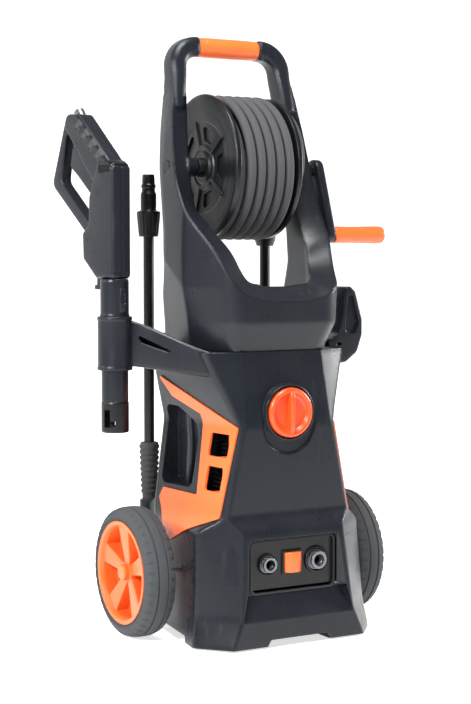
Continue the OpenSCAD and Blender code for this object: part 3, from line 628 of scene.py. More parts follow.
@dataclass
class Stage:
    """Plain pale floor that curves up behind, soft lights and the camera."""

    eye: tuple[float, float, float] = (-1.245, -2.131, 0.57)
    look: tuple[float, float, float] = (0.49896, 0.86422, -0.06453)
    lens_mm: float = 84.4
    reach: float = 6.0
    bend: float = 1.2
    pale: tuple[float, float, float] = (0.88, 0.88, 0.88)
    glow: float = 0.68

    def build(self) -> None:
        """Makes the floor, the lights and the camera."""
        self._floor()
        self._light("key", (-1.9, -0.9, 1.5), (0, 0, 0.45), 0.55, 70)
        self._light("right_strip", (2.1, -0.3, 0.9), (0, 0, 0.5), 0.5, 50)
        self._light("top", (-0.3, -0.6, 2.4), (0, 0, 0.4), 0.7, 66)
        self._light("left_rim", (-2.2, 0.9, 1.2), (0, 0, 0.5), 0.6, 12)
        self._light("back", (1.2, 2.6, 2.4), (0, 4, 0.6), 2.0, 60)
        world = bpy.data.worlds.new("studio")
        world.use_nodes = True
        world.node_tree.nodes["Background"].inputs["Color"].default_value = (1, 1, 1, 1)
        world.node_tree.nodes["Background"].inputs["Strength"].default_value = 0.2
        scene = bpy.context.scene
        scene.world = world
        scene.view_settings.view_transform = "Standard"
        camera = bpy.data.objects.new("camera", bpy.data.cameras.new("camera"))
        camera.data.lens = self.lens_mm
        camera.data.sensor_width = 36
        camera.data.clip_end = 50
        camera.location = self.eye
        camera.rotation_euler = Vector(self.look).to_track_quat("-Z", "Y").to_euler()
        scene.collection.objects.link(camera)
        scene.camera = camera

    def _floor(self) -> None:
        """A sheet that is flat and then rises along a quarter circle: its section is swept along X."""
        turn = np.linspace(0, math.pi / 2, 24)
        section = np.concatenate([
            [(-self.reach, 0)],
            np.stack([self.reach + self.bend * np.sin(turn), self.bend * (1 - np.cos(turn))], 1),
            [(self.reach + self.bend, self.reach)],
        ])
        x = np.linspace(-2 * self.reach, 2 * self.reach, 2)
        grid = np.stack([np.stack([np.full(len(section), k), *section.T], 1) for k in x], 1)
        mesh = bpy.data.meshes.new("floor")
        mesh.from_pydata(grid.reshape(-1, 3).tolist(), [], quads(len(section), 2, wrap_cols=False)[:, ::-1].tolist())
        mesh.polygons.foreach_set("use_smooth", np.ones(len(mesh.polygons), bool))
        floor = bpy.data.objects.new("floor", mesh)
        bpy.context.scene.collection.objects.link(floor)
        mat = bpy.data.materials.new("pale_floor")
        mat.use_nodes = True
        shader = mat.node_tree.nodes["Principled BSDF"]
        values = {"Base Color": (*self.pale, 1), "Roughness": 0.6, "Emission Color": (1, 1, 1, 1),
                  "Emission Strength": self.glow}
        for name, value in values.items():
            shader.inputs[name].default_value = value
        mesh.materials.append(mat)

    def _light(self, name: str, at: Sequence[float], aim: Sequence[float], size: float, power: float) -> None:
        """A square soft light at a place, turned to a point."""
        light = bpy.data.lights.new(name, "AREA")
        light.size, light.energy = size, power
        obj = bpy.data.objects.new(name, light)
        obj.location = at
        obj.rotation_euler = (Vector(aim) - Vector(at)).to_track_quat("-Z", "Y").to_euler()
        bpy.context.scene.collection.objects.link(obj)


# ---- Hose reel ----


@dataclass
class HoseReel:
    """Flanges, wound hose with its fitting, crank arm and crank knob; the drum keeps its CAD mesh."""

    hose_d: float = 14.0
    pitch: float = 16.0
    layer_radii: tuple[float, ...] = (72.0, 86.0, 100.0)
    flange_r: float = 108.0
    windows: int = 5
    crank_len: float = 106.0
    crank_turn: float = 21.0

    def __post_init__(self) -> None:
        """Takes the reel's place from its CAD nodes."""
        low, high = node_box("wound_hose")
        self.left, self.right = low[0] - 1, high[0] + 1
        _, self.y, self.z = node_centre("wound_hose")

    def build(self) -> None:
        """Makes every piece of the reel."""
        fitting = self._fitting()
        self._hose()
        for side, name in ((-1, "reel_flange_left"), (1, "reel_flange_right")):
            self._flange(name, side)
        self._crank_arm()
        self._crank_knob()

    def hose_path(self) -> Array:
        """Middle line of the hose.

        In each layer the angle grows evenly while the line moves one pitch a turn along the drum; at each
        end it climbs to the next layer's radius within a third of a turn. From the last turn it leaves over
        the right flange's rim and comes back in to the fitting on the flange's outer face.
        """
        start, stop = self.left + 1.6 + self.hose_d / 2, self.right - 1.6 - self.hose_d / 2
        travel = (stop - start) / self.pitch
        turn, along, radius = [0.0], [start], [self.layer_radii[0]]
        for k, r in enumerate(self.layer_radii):
            if k:
                turn.append(turn[-1] + 0.34)
                along.append(along[-1])
                radius.append(r)
            turn.append(turn[-1] + travel)
            along.append(start if k % 2 else stop)
            radius.append(r)
        lead = ((0.05, stop + 2, 104), (0.11, stop + 13, 115), (0.18, self.right + 17, 114), (0.3, self.right + 21, 97),
                (0.5, self.right + 20.5, 86), (0.7, self.right + 20, 76), (0.8, self.right + 18.5, 66))
        last = turn[-1]
        for step, x, r in lead:
            turn.append(last + step)
            along.append(x)
            radius.append(r)
        fine = np.arange(0, turn[-1], 0.011)
        near = np.linspace(-0.06, 0.06, 9)
        x = np.mean([np.interp(fine + d, turn, along) for d in near], 0)
        r = np.mean([np.interp(fine + d, turn, radius) for d in near], 0)
        angle = TAU * (fine - turn[-1]) + math.radians(215)
        return np.stack([x, self.y + r * np.cos(angle), self.z + r * np.sin(angle)], 1)

    def _hose(self) -> None:
        """The hose as one tube along its middle line, wound in three layers."""
        path = self.hose_path()
        tube = sweep(path, circle(self.hose_d / 2, HOSE_SIDES), (1, 0, 0))
        obj = raw_object("wound_hose_tube", tube)
        finish_piece(obj, HOSE, "reel", ("wound_hose",), 60)
        layer = obj.data.uv_layers.new(name="along_hose")
        loops = np.zeros(len(obj.data.loops), np.int32)
        obj.data.loops.foreach_get("vertex_index", loops)
        uv = np.stack([loops // HOSE_SIDES * 0.35, (loops % HOSE_SIDES) / HOSE_SIDES * 5], 1)
        layer.data.foreach_set("uv", uv.astype(np.float32).ravel())

    def _fitting(self) -> bpy.types.Object:
        """The hose's coupling: a ferrule, a wider round collar and a nose, turned about the hose's own line."""
        path = self.hose_path()
        end, ahead = path[-1], path[-1] - path[-3]
        ahead /= np.linalg.norm(ahead)
        line = np.array([end + ahead * s for s in (-16, -2, -1.9, 1, 1.1, 10, 10.1, 13, 13.1, 24, 25, 27)])
        scale = np.array([8.6, 8.6, 7.4, 7.4, 10, 10, 7.6, 7.6, 6.5, 6.5, 6.1, 5]) / 10
        body = sweep(line, circle(10, 24), (1, 0, 0), flare=scale)
        obj = raw_object("hose_coupling", body)
        return finish_piece(obj, BRASS, "reel", ("hose_end_fitting",))

    def _flange(self, name: str, side: int) -> None:
        """A dished flange with a rolled lip, rounded windows and radial ribs."""
        face = self.left if side < 0 else self.right
        r = self.flange_r - (0 if side < 0 else 3)
        profile = fillet([(14.2, 0), (r, 0), (r, 7.4), (r - 5, 8.2), (r - 24, 5.6), (r - 40, 4.2), (66, 3.4),
                          (34, 3.4), (32, 6), (28, 6), (26, 4), (22, 7.5), (14.2, 7.5)],
                         [0.3, 1, 2.4, 2.4, 3, 2, 1, 1, 1, 1, 1, 1, 0.5], 4)
        disc = turning(profile * (1, side), (face, self.y, self.z), Axis.X, 120, closed=True)
        gap = TAU / self.windows
        cuts, ribs = [], []
        for k in range(self.windows):
            a = gap * (k + 0.5)
            corners = [(rr * math.cos(a + t), rr * math.sin(a + t)) for rr, t in
                       ((40, -0.3), (62, -0.36), (62, 0.36), (40, 0.3))]
            window = fillet(np.array(corners) + (self.y, self.z), 5)
            cuts.append(prism(window, face - 15, face + 15, Axis.X, 0))
            c, s = math.cos(gap * k), math.sin(gap * k)
            bar = np.array([(31, -2), (r - 36, -2), (r - 36, 2), (31, 2)]) @ np.array([(c, s), (-s, c)])
            low, high = sorted((face + side * 2, face + side * 6.4))
            ribs.append(prism(fillet(bar + (self.y, self.z), 1.2), low, high, Axis.X, 0.8))
        piece(f"{name}_disc", disc, BLACK, "reel", (name,), joined=ribs, cut=cuts)

    def _crank_arm(self) -> None:
        """The arm: an outline of two circles and their common sides, with a raised rim on its outer face."""
        low, high = node_box("crank_arm")
        y1, z1 = self.crank_end()

        def outline(r0: float, r1: float) -> Array:
            """The arm's outline with radius r0 at the shaft and r1 at the knob."""
            direction = math.atan2(z1 - self.z, y1 - self.y)
            tilt = math.acos((r0 - r1) / self.crank_len)
            t = np.linspace(0, 1, 14)[:, None]
            a0 = direction + tilt + (TAU - 2 * tilt) * t
            a1 = direction - tilt + 2 * tilt * t
            return np.vstack([np.hstack([self.y + r0 * np.cos(a0), self.z + r0 * np.sin(a0)]),
                              np.hstack([y1 + r1 * np.cos(a1), z1 + r1 * np.sin(a1)])])

        arm = prism(outline(16.6, 12.6), low[0] + 0.2, high[0] - 0.2, Axis.X, 3, steps=4)
        hollow = prism(outline(12, 8.2), high[0] - 1.6, high[0] + 4, Axis.X, 0)
        bore = rod(4.05, low[0] - 5, high[0] + 5, (0, y1, z1), Axis.X, 32)
        button = np.array([(9, high[0] - 3), (9, high[0] - 1), (7.6, high[0] - 0.3), (0.5, high[0] - 0.2)])
        cap_ = turning(button, (0, self.y, self.z), Axis.X, 40)
        piece("crank_arm_moulding", arm, ANTHRACITE, "reel", ("crank_arm",), cut=[hollow, bore], joined=[cap_])

    def crank_end(self) -> tuple[float, float]:
        """Y and Z of the crank knob's axis."""
        a = math.radians(self.crank_turn)
        return self.y - self.crank_len * math.sin(a), self.z - self.crank_len * math.cos(a)

    def _crank_knob(self) -> None:
        """The knob: a tapered grip with a rounded end and shallow flutes, its pin and its inner cap."""
        low, high = node_box("crank_knob")
        y, z = self.crank_end()
        start = node_box("crank_arm")[1][0] + 0.4
        grip = fillet([(0.6, start), (12.2, start), (12.9, start + 3), (12.4, start + 30), (13.4, high[0] - 16),
                       (13.2, high[0] - 1), (0.6, high[0])], [0.2, 1.4, 2, 30, 20, 5, 0.2], 6, False)
        fade = (start + 6, high[0] - 14)

        def flutes(angle: Array, along: Array) -> Array:
            """Shallow hollows along the grip that die out at both ends."""
            ends = np.clip((along - fade[0]) / 6, 0, 1) * np.clip((fade[1] - along) / 6, 0, 1)
            return -0.45 * ends * np.clip(np.cos(6 * angle), 0, 1) ** 2

        body = turning(densify(grip, 2.5), (0, y, z), Axis.X, 72, wave=flutes)
        pin = rod(4, low[0] + 2, start + 2, (0, y, z), Axis.X, 24)
        cap_ = turning(fillet([(0.5, low[0]), (8, low[0]), (8, low[0] + 5.4), (0.5, low[0] + 5.4)], [0.2, 2, 0.6, 0.2],
                              5, False), (0, y, z), Axis.X, 40)
        piece("crank_knob_grip", body, ORANGE, "crank_handle", ("crank_knob",), joined=[pin, cap_])


# ---- Wheels ----


@dataclass
class Wheel:
    """One tyre and its five-spoked rim."""

    side: int
    spokes: int = 5
    notches: int = 40

    def __post_init__(self) -> None:
        """Takes the wheel's sizes from its CAD nodes."""
        self.word = "left" if self.side < 0 else "right"
        low, high = node_box(f"tyre_{self.word}")
        self.mid, self.y, self.z = (low + high) / 2
        self.half = (high[0] - low[0]) / 2
        self.r = (high[2] - low[2]) / 2
        rim_low, rim_high = node_box(f"rim_{self.word}")
        self.rim_r = (rim_high[2] - rim_low[2]) / 2

    def build(self) -> None:
        """Makes the tyre and the rim."""
        self._tyre()
        self._rim()

    def _tyre(self) -> None:
        """A tyre whose shoulders carry notches.

        The profile is a crowned tread with round shoulders and two grooves. Across each shoulder the radius
        drops by a smooth pulse of the angle, which is greatest where the tread turns into the sidewall.
        """
        h, r, bead = self.half, self.r, self.rim_r - 3.5
        profile = fillet([
            (bead, -h + 5), (bead + 8, -h + 1.6), (r - 15, -h), (r - 3.5, -h + 4.6), (r - 0.4, -h + 15),
            (r - 0.3, -9.2), (r - 2.6, -8.6), (r - 2.6, -6.6), (r, -6), (r, 6), (r - 2.6, 6.6), (r - 2.6, 8.6),
            (r - 0.3, 9.2), (r - 0.4, h - 15), (r - 3.5, h - 4.6), (r - 15, h), (bead + 8, h - 1.6), (bead, h - 5),
        ], [1, 3, 9, 7, 6, 0.6, 0.6, 0.6, 0.6, 0.6, 0.6, 0.6, 0.6, 6, 7, 9, 3, 1], 5)
        pitch = TAU / self.notches

        def tread(angle: Array, along: Array) -> Array:
            """Notches on the shoulders, staggered from one side to the other."""
            shoulder = np.clip((np.abs(along) - 11.5) / 2, 0, 1) * np.clip((h - 1.6 - np.abs(along)) / 3, 0, 1)
            phase = np.mod(angle / pitch + 0.25 * np.sign(along) + 0.02 * along, 1) - 0.5
            return -1.7 * shoulder * np.clip((0.17 - np.abs(phase)) / 0.05, 0, 1)

        tyre = turning(profile, (self.mid, self.y, self.z), Axis.X, self.notches * 14, closed=True, wave=tread)
        piece(f"tyre_{self.word}_tread", tyre, TYRE, f"{self.word}_wheel", (f"tyre_{self.word}",), sharp=45)

    def _rim(self) -> None:
        """A rim whose flat spokes rise out of a web, with three-cornered openings between them by the barrel."""
        h, r, s = self.half, self.rim_r, self.side
        centre = (self.mid, self.y, self.z)
        barrel = turning(fillet([(r - 4, -h + 5), (r - 4, h - 5.2), (r - 0.2, h - 3), (r - 0.2, h - 1.4),
                                 (r - 2, h - 1), (r - 6.5, h - 2), (r - 9, h - 8), (r - 10, -h + 5)],
                                [0.5, 1, 0.8, 0.8, 1, 1.5, 4, 0.5], 4) * (1, s), centre, Axis.X, 120, closed=True)
        web = turning(fillet([(6.1, -7), (r - 8, -7), (r - 8, -2), (30, -4), (6.1, -4)], [0.2, 0.5, 0.5, 6, 0.2], 4)
                      * (1, s), centre, Axis.X, 120, closed=True)
        hub = turning(fillet([(6.1, -h + 5), (17, -h + 5), (16, 12), (6.1, 12)], [0.3, 2, 2, 0.3], 4) * (1, s), centre,
                      Axis.X, 60, closed=True)
        joined, cuts = [web, hub], []
        for k in range(self.spokes):
            a = TAU * k / self.spokes + 0.31
            turn = np.array([(math.cos(a), math.sin(a)), (-math.sin(a), math.cos(a))])
            spoke = fillet(np.array([(4, -6.5), (22, -8.5), (r - 6, -16), (r - 6, 16), (22, 8.5), (4, 6.5)]) @ turn, 2)
            low, high = sorted((s * -5, s * (h - 6)))
            bar = prism(spoke, low, high, Axis.X, 1.4)
            reach = np.hypot(bar.points[:, 1], bar.points[:, 2])
            bar.points[:, 0] -= s * 9 * (1 - reach / r) * (bar.points[:, 0] * s > 0)
            joined.append(bar.shifted(*centre))
            b = a + TAU / self.spokes / 2
            turn = np.array([(math.cos(b), math.sin(b)), (-math.sin(b), math.cos(b))])
            opening = fillet(np.array([(r * 0.42, 0), (r * 0.8, -15), (r * 0.8, 15)]) @ turn, 3.5)
            cuts.append(prism(opening, -30, 30, Axis.X, 0).shifted(*centre))
        star = [((17.5 if k % 2 else 12.5) * math.cos(0.31 + k * TAU / 10), (17.5 if k % 2 else 12.5)
                 * math.sin(0.31 + k * TAU / 10)) for k in range(10)]
        low, high = sorted((0.0, s * 13.6))
        joined.append(prism(fillet(star, 1.2), low, high, Axis.X, 1).shifted(*centre))
        cap_ = fillet([(12, 12), (12, h - 4.4), (9.5, h - 2.8), (0.5, h - 2.4), (0.5, h - 4.5), (10.5, h - 4.5),
                       (10.5, h - 9), (6.1, h - 9), (6.1, 12)], 0.4, 4) * (1, s)
        joined.append(turning(cap_, centre, Axis.X, 60, closed=True))
        piece(f"rim_{self.word}_spokes", barrel, ORANGE, f"{self.word}_wheel", (f"rim_{self.word}",), joined=joined,
              cut=cuts)


# ---- Body covers ----


@dataclass
class Covers:
    """Front and rear covers, the orange side panels, and the trims round the ports and the switch."""

    stations: tuple[tuple[float, ...], ...] = (
        (3, 110, -160, 150, -114, 118, 69, 85, 82),
        (45, 92, -158, 144, -108, 118, 69, 85, 84),
        (165, 82, -144, 138, -100, 120, 66, 85, 87),
        (183, 100, -129, 108, -120, 121, 64, 85, 88),
        (313, 71, -129, 80, -124, 104, 62, 80, 90),
        (418, 66, -108, 120, -90, 130, 54, 90, 86),
    )
    wall: float = 3.0
    split_y: float = 54.0
    pocket_x: float = 86.0
    panel_outline: Table = (
        (-122, 312), (-117, 184), (-8, 140), (10, 140), (46, 196), (38, 211), (-52, 210), (-40, 326), (22, 348),
        (48, 380),
    )
    vents: tuple[tuple[float, float, float, float], ...] = ((-111, 268, -64, 301), (-108, 219, -69, 254))
    window: tuple[float, float, float, float] = (-69, 69, 76, 150)
    knob_z: float = 331.0
    port_z: float = 113.0
    axle: tuple[float, float, float] = (0, 9, 95)
    lance_x: float = 103.0
    lance_y: float = 111.0

    def __post_init__(self) -> None:
        """Takes the covers' levels from the CAD node."""
        low, high = node_box("front_cover")
        self.foot, self.top = low[2], high[2]

    def skin(self, depth: float, low: float, high: float) -> Shape:
        """The body's outer surface moved in by depth, from one level to another.

        Each level's outline has eight corners that run straight from station to station. The levels are
        blended over a few millimetres, and every corner is an arc.
        """
        table = np.array(self.stations)
        stops = np.unique(np.concatenate([np.arange(low, high, 3.0), [high]]))
        at = np.clip(stops, self.foot, self.top)
        blend_over = np.array([-5, -2.5, 0, 2.5, 5])
        rows = np.mean([[np.interp(np.clip(at + d, self.foot, self.top), table[:, 0], table[:, k])
                         for k in range(1, 9)] for d in blend_over], 0).T
        half = rows.reshape(-1, 4, 2)
        ring = np.concatenate([half, half[:, ::-1] * (-1, 1)], 1)
        radii = np.array([9, 15, 13, 10, 10, 13, 15, 9])
        rounded = fillet(ring, radii, 7)
        levels = [place(*inset(r, depth).T, np.full(len(r), z), Axis.Z) for r, z in zip(rounded, stops)]
        return loft(np.array(levels))

    def pocket(self, grow: float) -> Shape:
        """The hand pocket's hollow on the right side: a slanted, rounded opening that tapers inwards."""
        corners = np.array([(-36, 214), (50, 214), (50, 338), (14, 336), (-36, 306)], float)
        ring = inset(fillet(corners, 12), -grow)
        shape = prism(ring, self.pocket_x - grow, 200, Axis.X, 0)
        deep = shape.points[:, 0] < 150
        middle = corners.mean(0)
        shape.points[deep, 1:] = middle + (shape.points[deep, 1:] - middle) * 0.93
        return shape

    def side_x(self, y: float, z: float) -> float:
        """How far out the body's side stands at a place."""
        table = np.array(self.stations)
        x0, y0, x1, y1 = (np.interp(z, table[:, 0], table[:, k]) for k in (3, 4, 5, 6))
        return float(x0 + (x1 - x0) * (y - y0) / (y1 - y0))

    def build(self) -> None:
        """Makes the covers and their trims."""
        self._covers()
        for side, word in ((-1, "left"), (1, "right")):
            self._panel(side, word)

    def panel_band(self, out: float, deep: float, gap: float) -> bpy.types.Object:
        """An object of the skin under the panel's outline on the right side, between two depths."""
        ring = fillet(self.panel_outline[::-1], 2.4, 4)
        area = (ring[:, 0] * np.roll(ring[:, 1], -1) - np.roll(ring[:, 0], -1) * ring[:, 1]).sum()
        ring = inset(ring if area > 0 else ring[::-1], -gap)
        obj = raw_object("band", prism(ring, 40, 200, Axis.X, 0))
        combine(obj, "INTERSECT", self.skin(out, self.foot, self.top))
        combine(obj, "DIFFERENCE", self.skin(deep, self.foot - 5, self.top + 5))
        return obj

    def _covers(self) -> None:
        """Both covers: a hollow body with its recesses, cut in two at the parting line."""
        cavity = raw_object("cavity", self.skin(self.wall, self.foot - 4, self.top - self.wall))
        for pocket in (self.pocket(self.wall), self.pocket(self.wall).mirrored()):
            combine(cavity, "DIFFERENCE", pocket)
        sill = prism(fillet([(-175, 79), (-137.5, 77.5), (-156.6, 40), (-175, 40)][::-1], 3), -84, 84, Axis.X, 0)
        sill.points[:, 0] *= (1 + 0.1 * (77 - sill.points[:, 2]) / 37)
        behind = prism(fillet([(-175, 82), (-133, 80.5), (-152.6, 37), (-175, 37)][::-1], 3), -95, 95, Axis.X, 0)
        combine(cavity, "DIFFERENCE", behind)
        combine(cavity, "DIFFERENCE", prism(circle(49, 96) + (0, 316), -180, -122, Axis.Y, 0))
        body = raw_object("body", self.skin(0, self.foot, self.top))
        crescent = turning(fillet([(0.5, -160), (48, -160), (44, -127), (41, -126), (0.5, -126)], [0.2, 1, 3, 2, 0.2],
                                  4, False), (0, 0, 315), Axis.Y, 96)
        combine(body, "DIFFERENCE", crescent)
        seat = prism(circle(41, 96) + (0, self.knob_z), -132, -112, Axis.Y, 1.5)
        combine(body, "UNION", seat)
        combine(body, "DIFFERENCE", cavity)
        liner = raw_object("liner", prism(rounded_box(-92, 92, 68, 164, 14), -190, -141.2, Axis.Y, 0))
        combine(liner, "INTERSECT", self.skin(0, self.foot, self.top))
        combine(body, "UNION", liner)
        for side in (1, -1):
            pocket = self.pocket(0)
            combine(body, "DIFFERENCE", pocket if side > 0 else pocket.mirrored())
            band = self.panel_band(-3, 1.5, 0.5)
            if side < 0:
                mirror_object(band)
            combine(body, "DIFFERENCE", band)
            for y0, z0, y1, z1 in self.vents:
                vent = prism(inset(rounded_box(y0, y1, z0, z1, 4), -1.7), 50, 200, Axis.X, 0)
                combine(body, "DIFFERENCE", vent if side > 0 else vent.mirrored())
            ridge = sweep(densify([(side * 87, 14, 214), (side * 90, 2, 250), (side * 89, 0, 280),
                                   (side * 86, 10, 322)],
                                  4), rounded_box(-5, 5, -7, 7, 4), (1, 0, 0), (2, 2))
            combine(body, "UNION", ridge)
        x0, x1, z0, z1 = self.window
        seat_cut = turning(np.array([(0.5, -150), (38, -150), (38, -121), (0.5, -121)]), (0, 0, self.knob_z), Axis.Y,
                           96)
        spindle = rod(5, -160, -100, (0, 0, self.knob_z), Axis.Y, 32)
        window = prism(rounded_box(x0, x1, z0, z1, 9), -200, -136, Axis.Y, 0)
        flare = window.points[:, 1] < -160
        window.points[flare, 0] *= 1.7
        window.points[flare, 2] = self.port_z + (window.points[flare, 2] - self.port_z) * 1.6
        axle = rod(6.5, -200, 200, self.axle, Axis.X, 40)
        foot_gap = prism(fillet([(-62, -10), (62, -10), (48, 12), (-48, 12)], 5), -200, 200, Axis.Y, 0)
        side_gap = prism(fillet([(-84, -10), (52, -10), (44, 12), (-76, 12)], 5), -200, 200, Axis.X, 0)
        cuts = [seat_cut, spindle, window, sill, axle, foot_gap, side_gap]
        rear_only = [rod(10, 64, 114, (0, 0, 60), Axis.Y, 40)]
        rear_only += [prism(rounded_box(-45, 45, 210 + 18 * k, 218 + 18 * k, 3.5), 74, 114, Axis.Y, 0)
                      for k in range(7)]
        rear_only += [rod(11.5, 160, 230, (s * self.lance_x, self.lance_y, 0), Axis.Z, 40) for s in (-1, 1)]
        rear = copy_of(body, "rear_cover_moulding")
        body.name = "front_cover_moulding"
        for cut in cuts:
            combine(body, "DIFFERENCE", cut)
        combine(body, "INTERSECT", block(-300, 300, -300, self.split_y - 0.3, -50, 900))
        finish_piece(body, ANTHRACITE, "chassis", ("front_cover",), 28)
        combine(rear, "INTERSECT", block(-300, 300, self.split_y + 0.3, 300, -50, 900))
        for side in (-1, 1):
            cup = turning(fillet([(0.5, 150), (15, 150), (15, 182), (0.5, 182)], [0.2, 2.5, 1.5, 0.2], 4, False),
                          (side * self.lance_x, self.lance_y, 0), Axis.Z, 48)
            web = prism(fillet([(66, 150), (111, 150), (111, 172), (66, 196)], 3), side * self.lance_x - 7,
                        side * self.lance_x + 7, Axis.X, 1)
            combine(rear, "UNION", cup)
            combine(rear, "UNION", web)
        for cut in rear_only + cuts[4:]:
            combine(rear, "DIFFERENCE", cut)
        finish_piece(rear, ANTHRACITE, "chassis", ("rear_cover",), 28)

    def _panel(self, side: int, word: str) -> None:
        """A side panel with deep vents: each vent is a duct that runs back from the face to a dark louvre."""
        band = self.panel_band(-2, 1.5, 0)
        slats: list[Shape] = []
        for vent in self.vents:
            y0, z0, y1, z1 = vent
            x, middle = self.side_x((y0 + y1) / 2, (z0 + z1) / 2), y0 + 0.5 * (y1 - y0)
            hole = rounded_box(y0, y1, z0, z1, 4)
            duct = raw_object("duct", prism(inset(hole, -1.6), 40, 200, Axis.X, 0))
            combine(duct, "INTERSECT", self.skin(-1.2, self.foot, self.top))
            combine(duct, "DIFFERENCE", self.skin(20, self.foot - 5, self.top + 5))
            combine(duct, "INTERSECT", block(0, 300, y0 - 5, middle + 2, z0 - 9, z1 + 9))
            scoop = raw_object("scoop", prism(hole, 20, 220, Axis.X, 0))
            wedge = [(x + 40, y0 - 1), (x - 1, y0 - 1), (x - 14, middle), (x - 70, middle), (x - 70, y1 + 1),
                     (x + 40, y1 + 1)]
            combine(scoop, "INTERSECT", prism(np.array(wedge[::-1], float), z0 - 5, z1 + 5, Axis.Z, 0))
            combine(band, "UNION", duct)
            combine(band, "DIFFERENCE", scoop)
            slats += [prism(fillet([(x - 26, z), (x - 21, z - 3), (x - 20, z - 1.6), (x - 25, z + 1.6)], 0.4), middle,
                            y1 + 24, Axis.Y, 0.3) for z in np.arange(z0 + 2, z1 + 2, 6.5)]
            slats.append(prism(box_outline(middle, y1 + 24, z0 - 3, z1 + 3), x - 29, x - 27, Axis.X, 0))
        louvre = slats[0]
        for slat in slats[1:]:
            louvre = louvre + slat
        piece(f"side_vent_louvre_{word}", louvre if side > 0 else louvre.mirrored(), BLACK, "chassis")
        if side < 0:
            mirror_object(band)
        band.name = f"side_panel_{word}_trim"
        finish_piece(band, ORANGE, "chassis", (f"side_panel_{word}",), 28)


def block(x0: float, x1: float, y0: float, y1: float, z0: float, z1: float) -> Shape:
    """A box between two places along each axis."""
    return prism(box_outline(x0, x1, y0, y1), z0, z1, Axis.Z, 0)


def coordinates(obj: bpy.types.Object) -> Array:
    """The points of an object's mesh."""
    points = np.zeros(len(obj.data.vertices) * 3, np.float32)
    obj.data.vertices.foreach_get("co", points)
    return points.reshape(-1, 3)


def mirror_object(obj: bpy.types.Object) -> None:
    """Carries an object's mesh to the other side of the machine's middle plane."""
    obj.data.vertices.foreach_set("co", (coordinates(obj) * (-1, 1, 1)).ravel())
    obj.data.flip_normals()


def copy_of(obj: bpy.types.Object, name: str) -> bpy.types.Object:
    """A copy of an object with its own mesh."""
    twin = bpy.data.objects.new(name, obj.data.copy())
    bpy.context.scene.collection.objects.link(twin)
    return twin


# ---- Handle frame ----


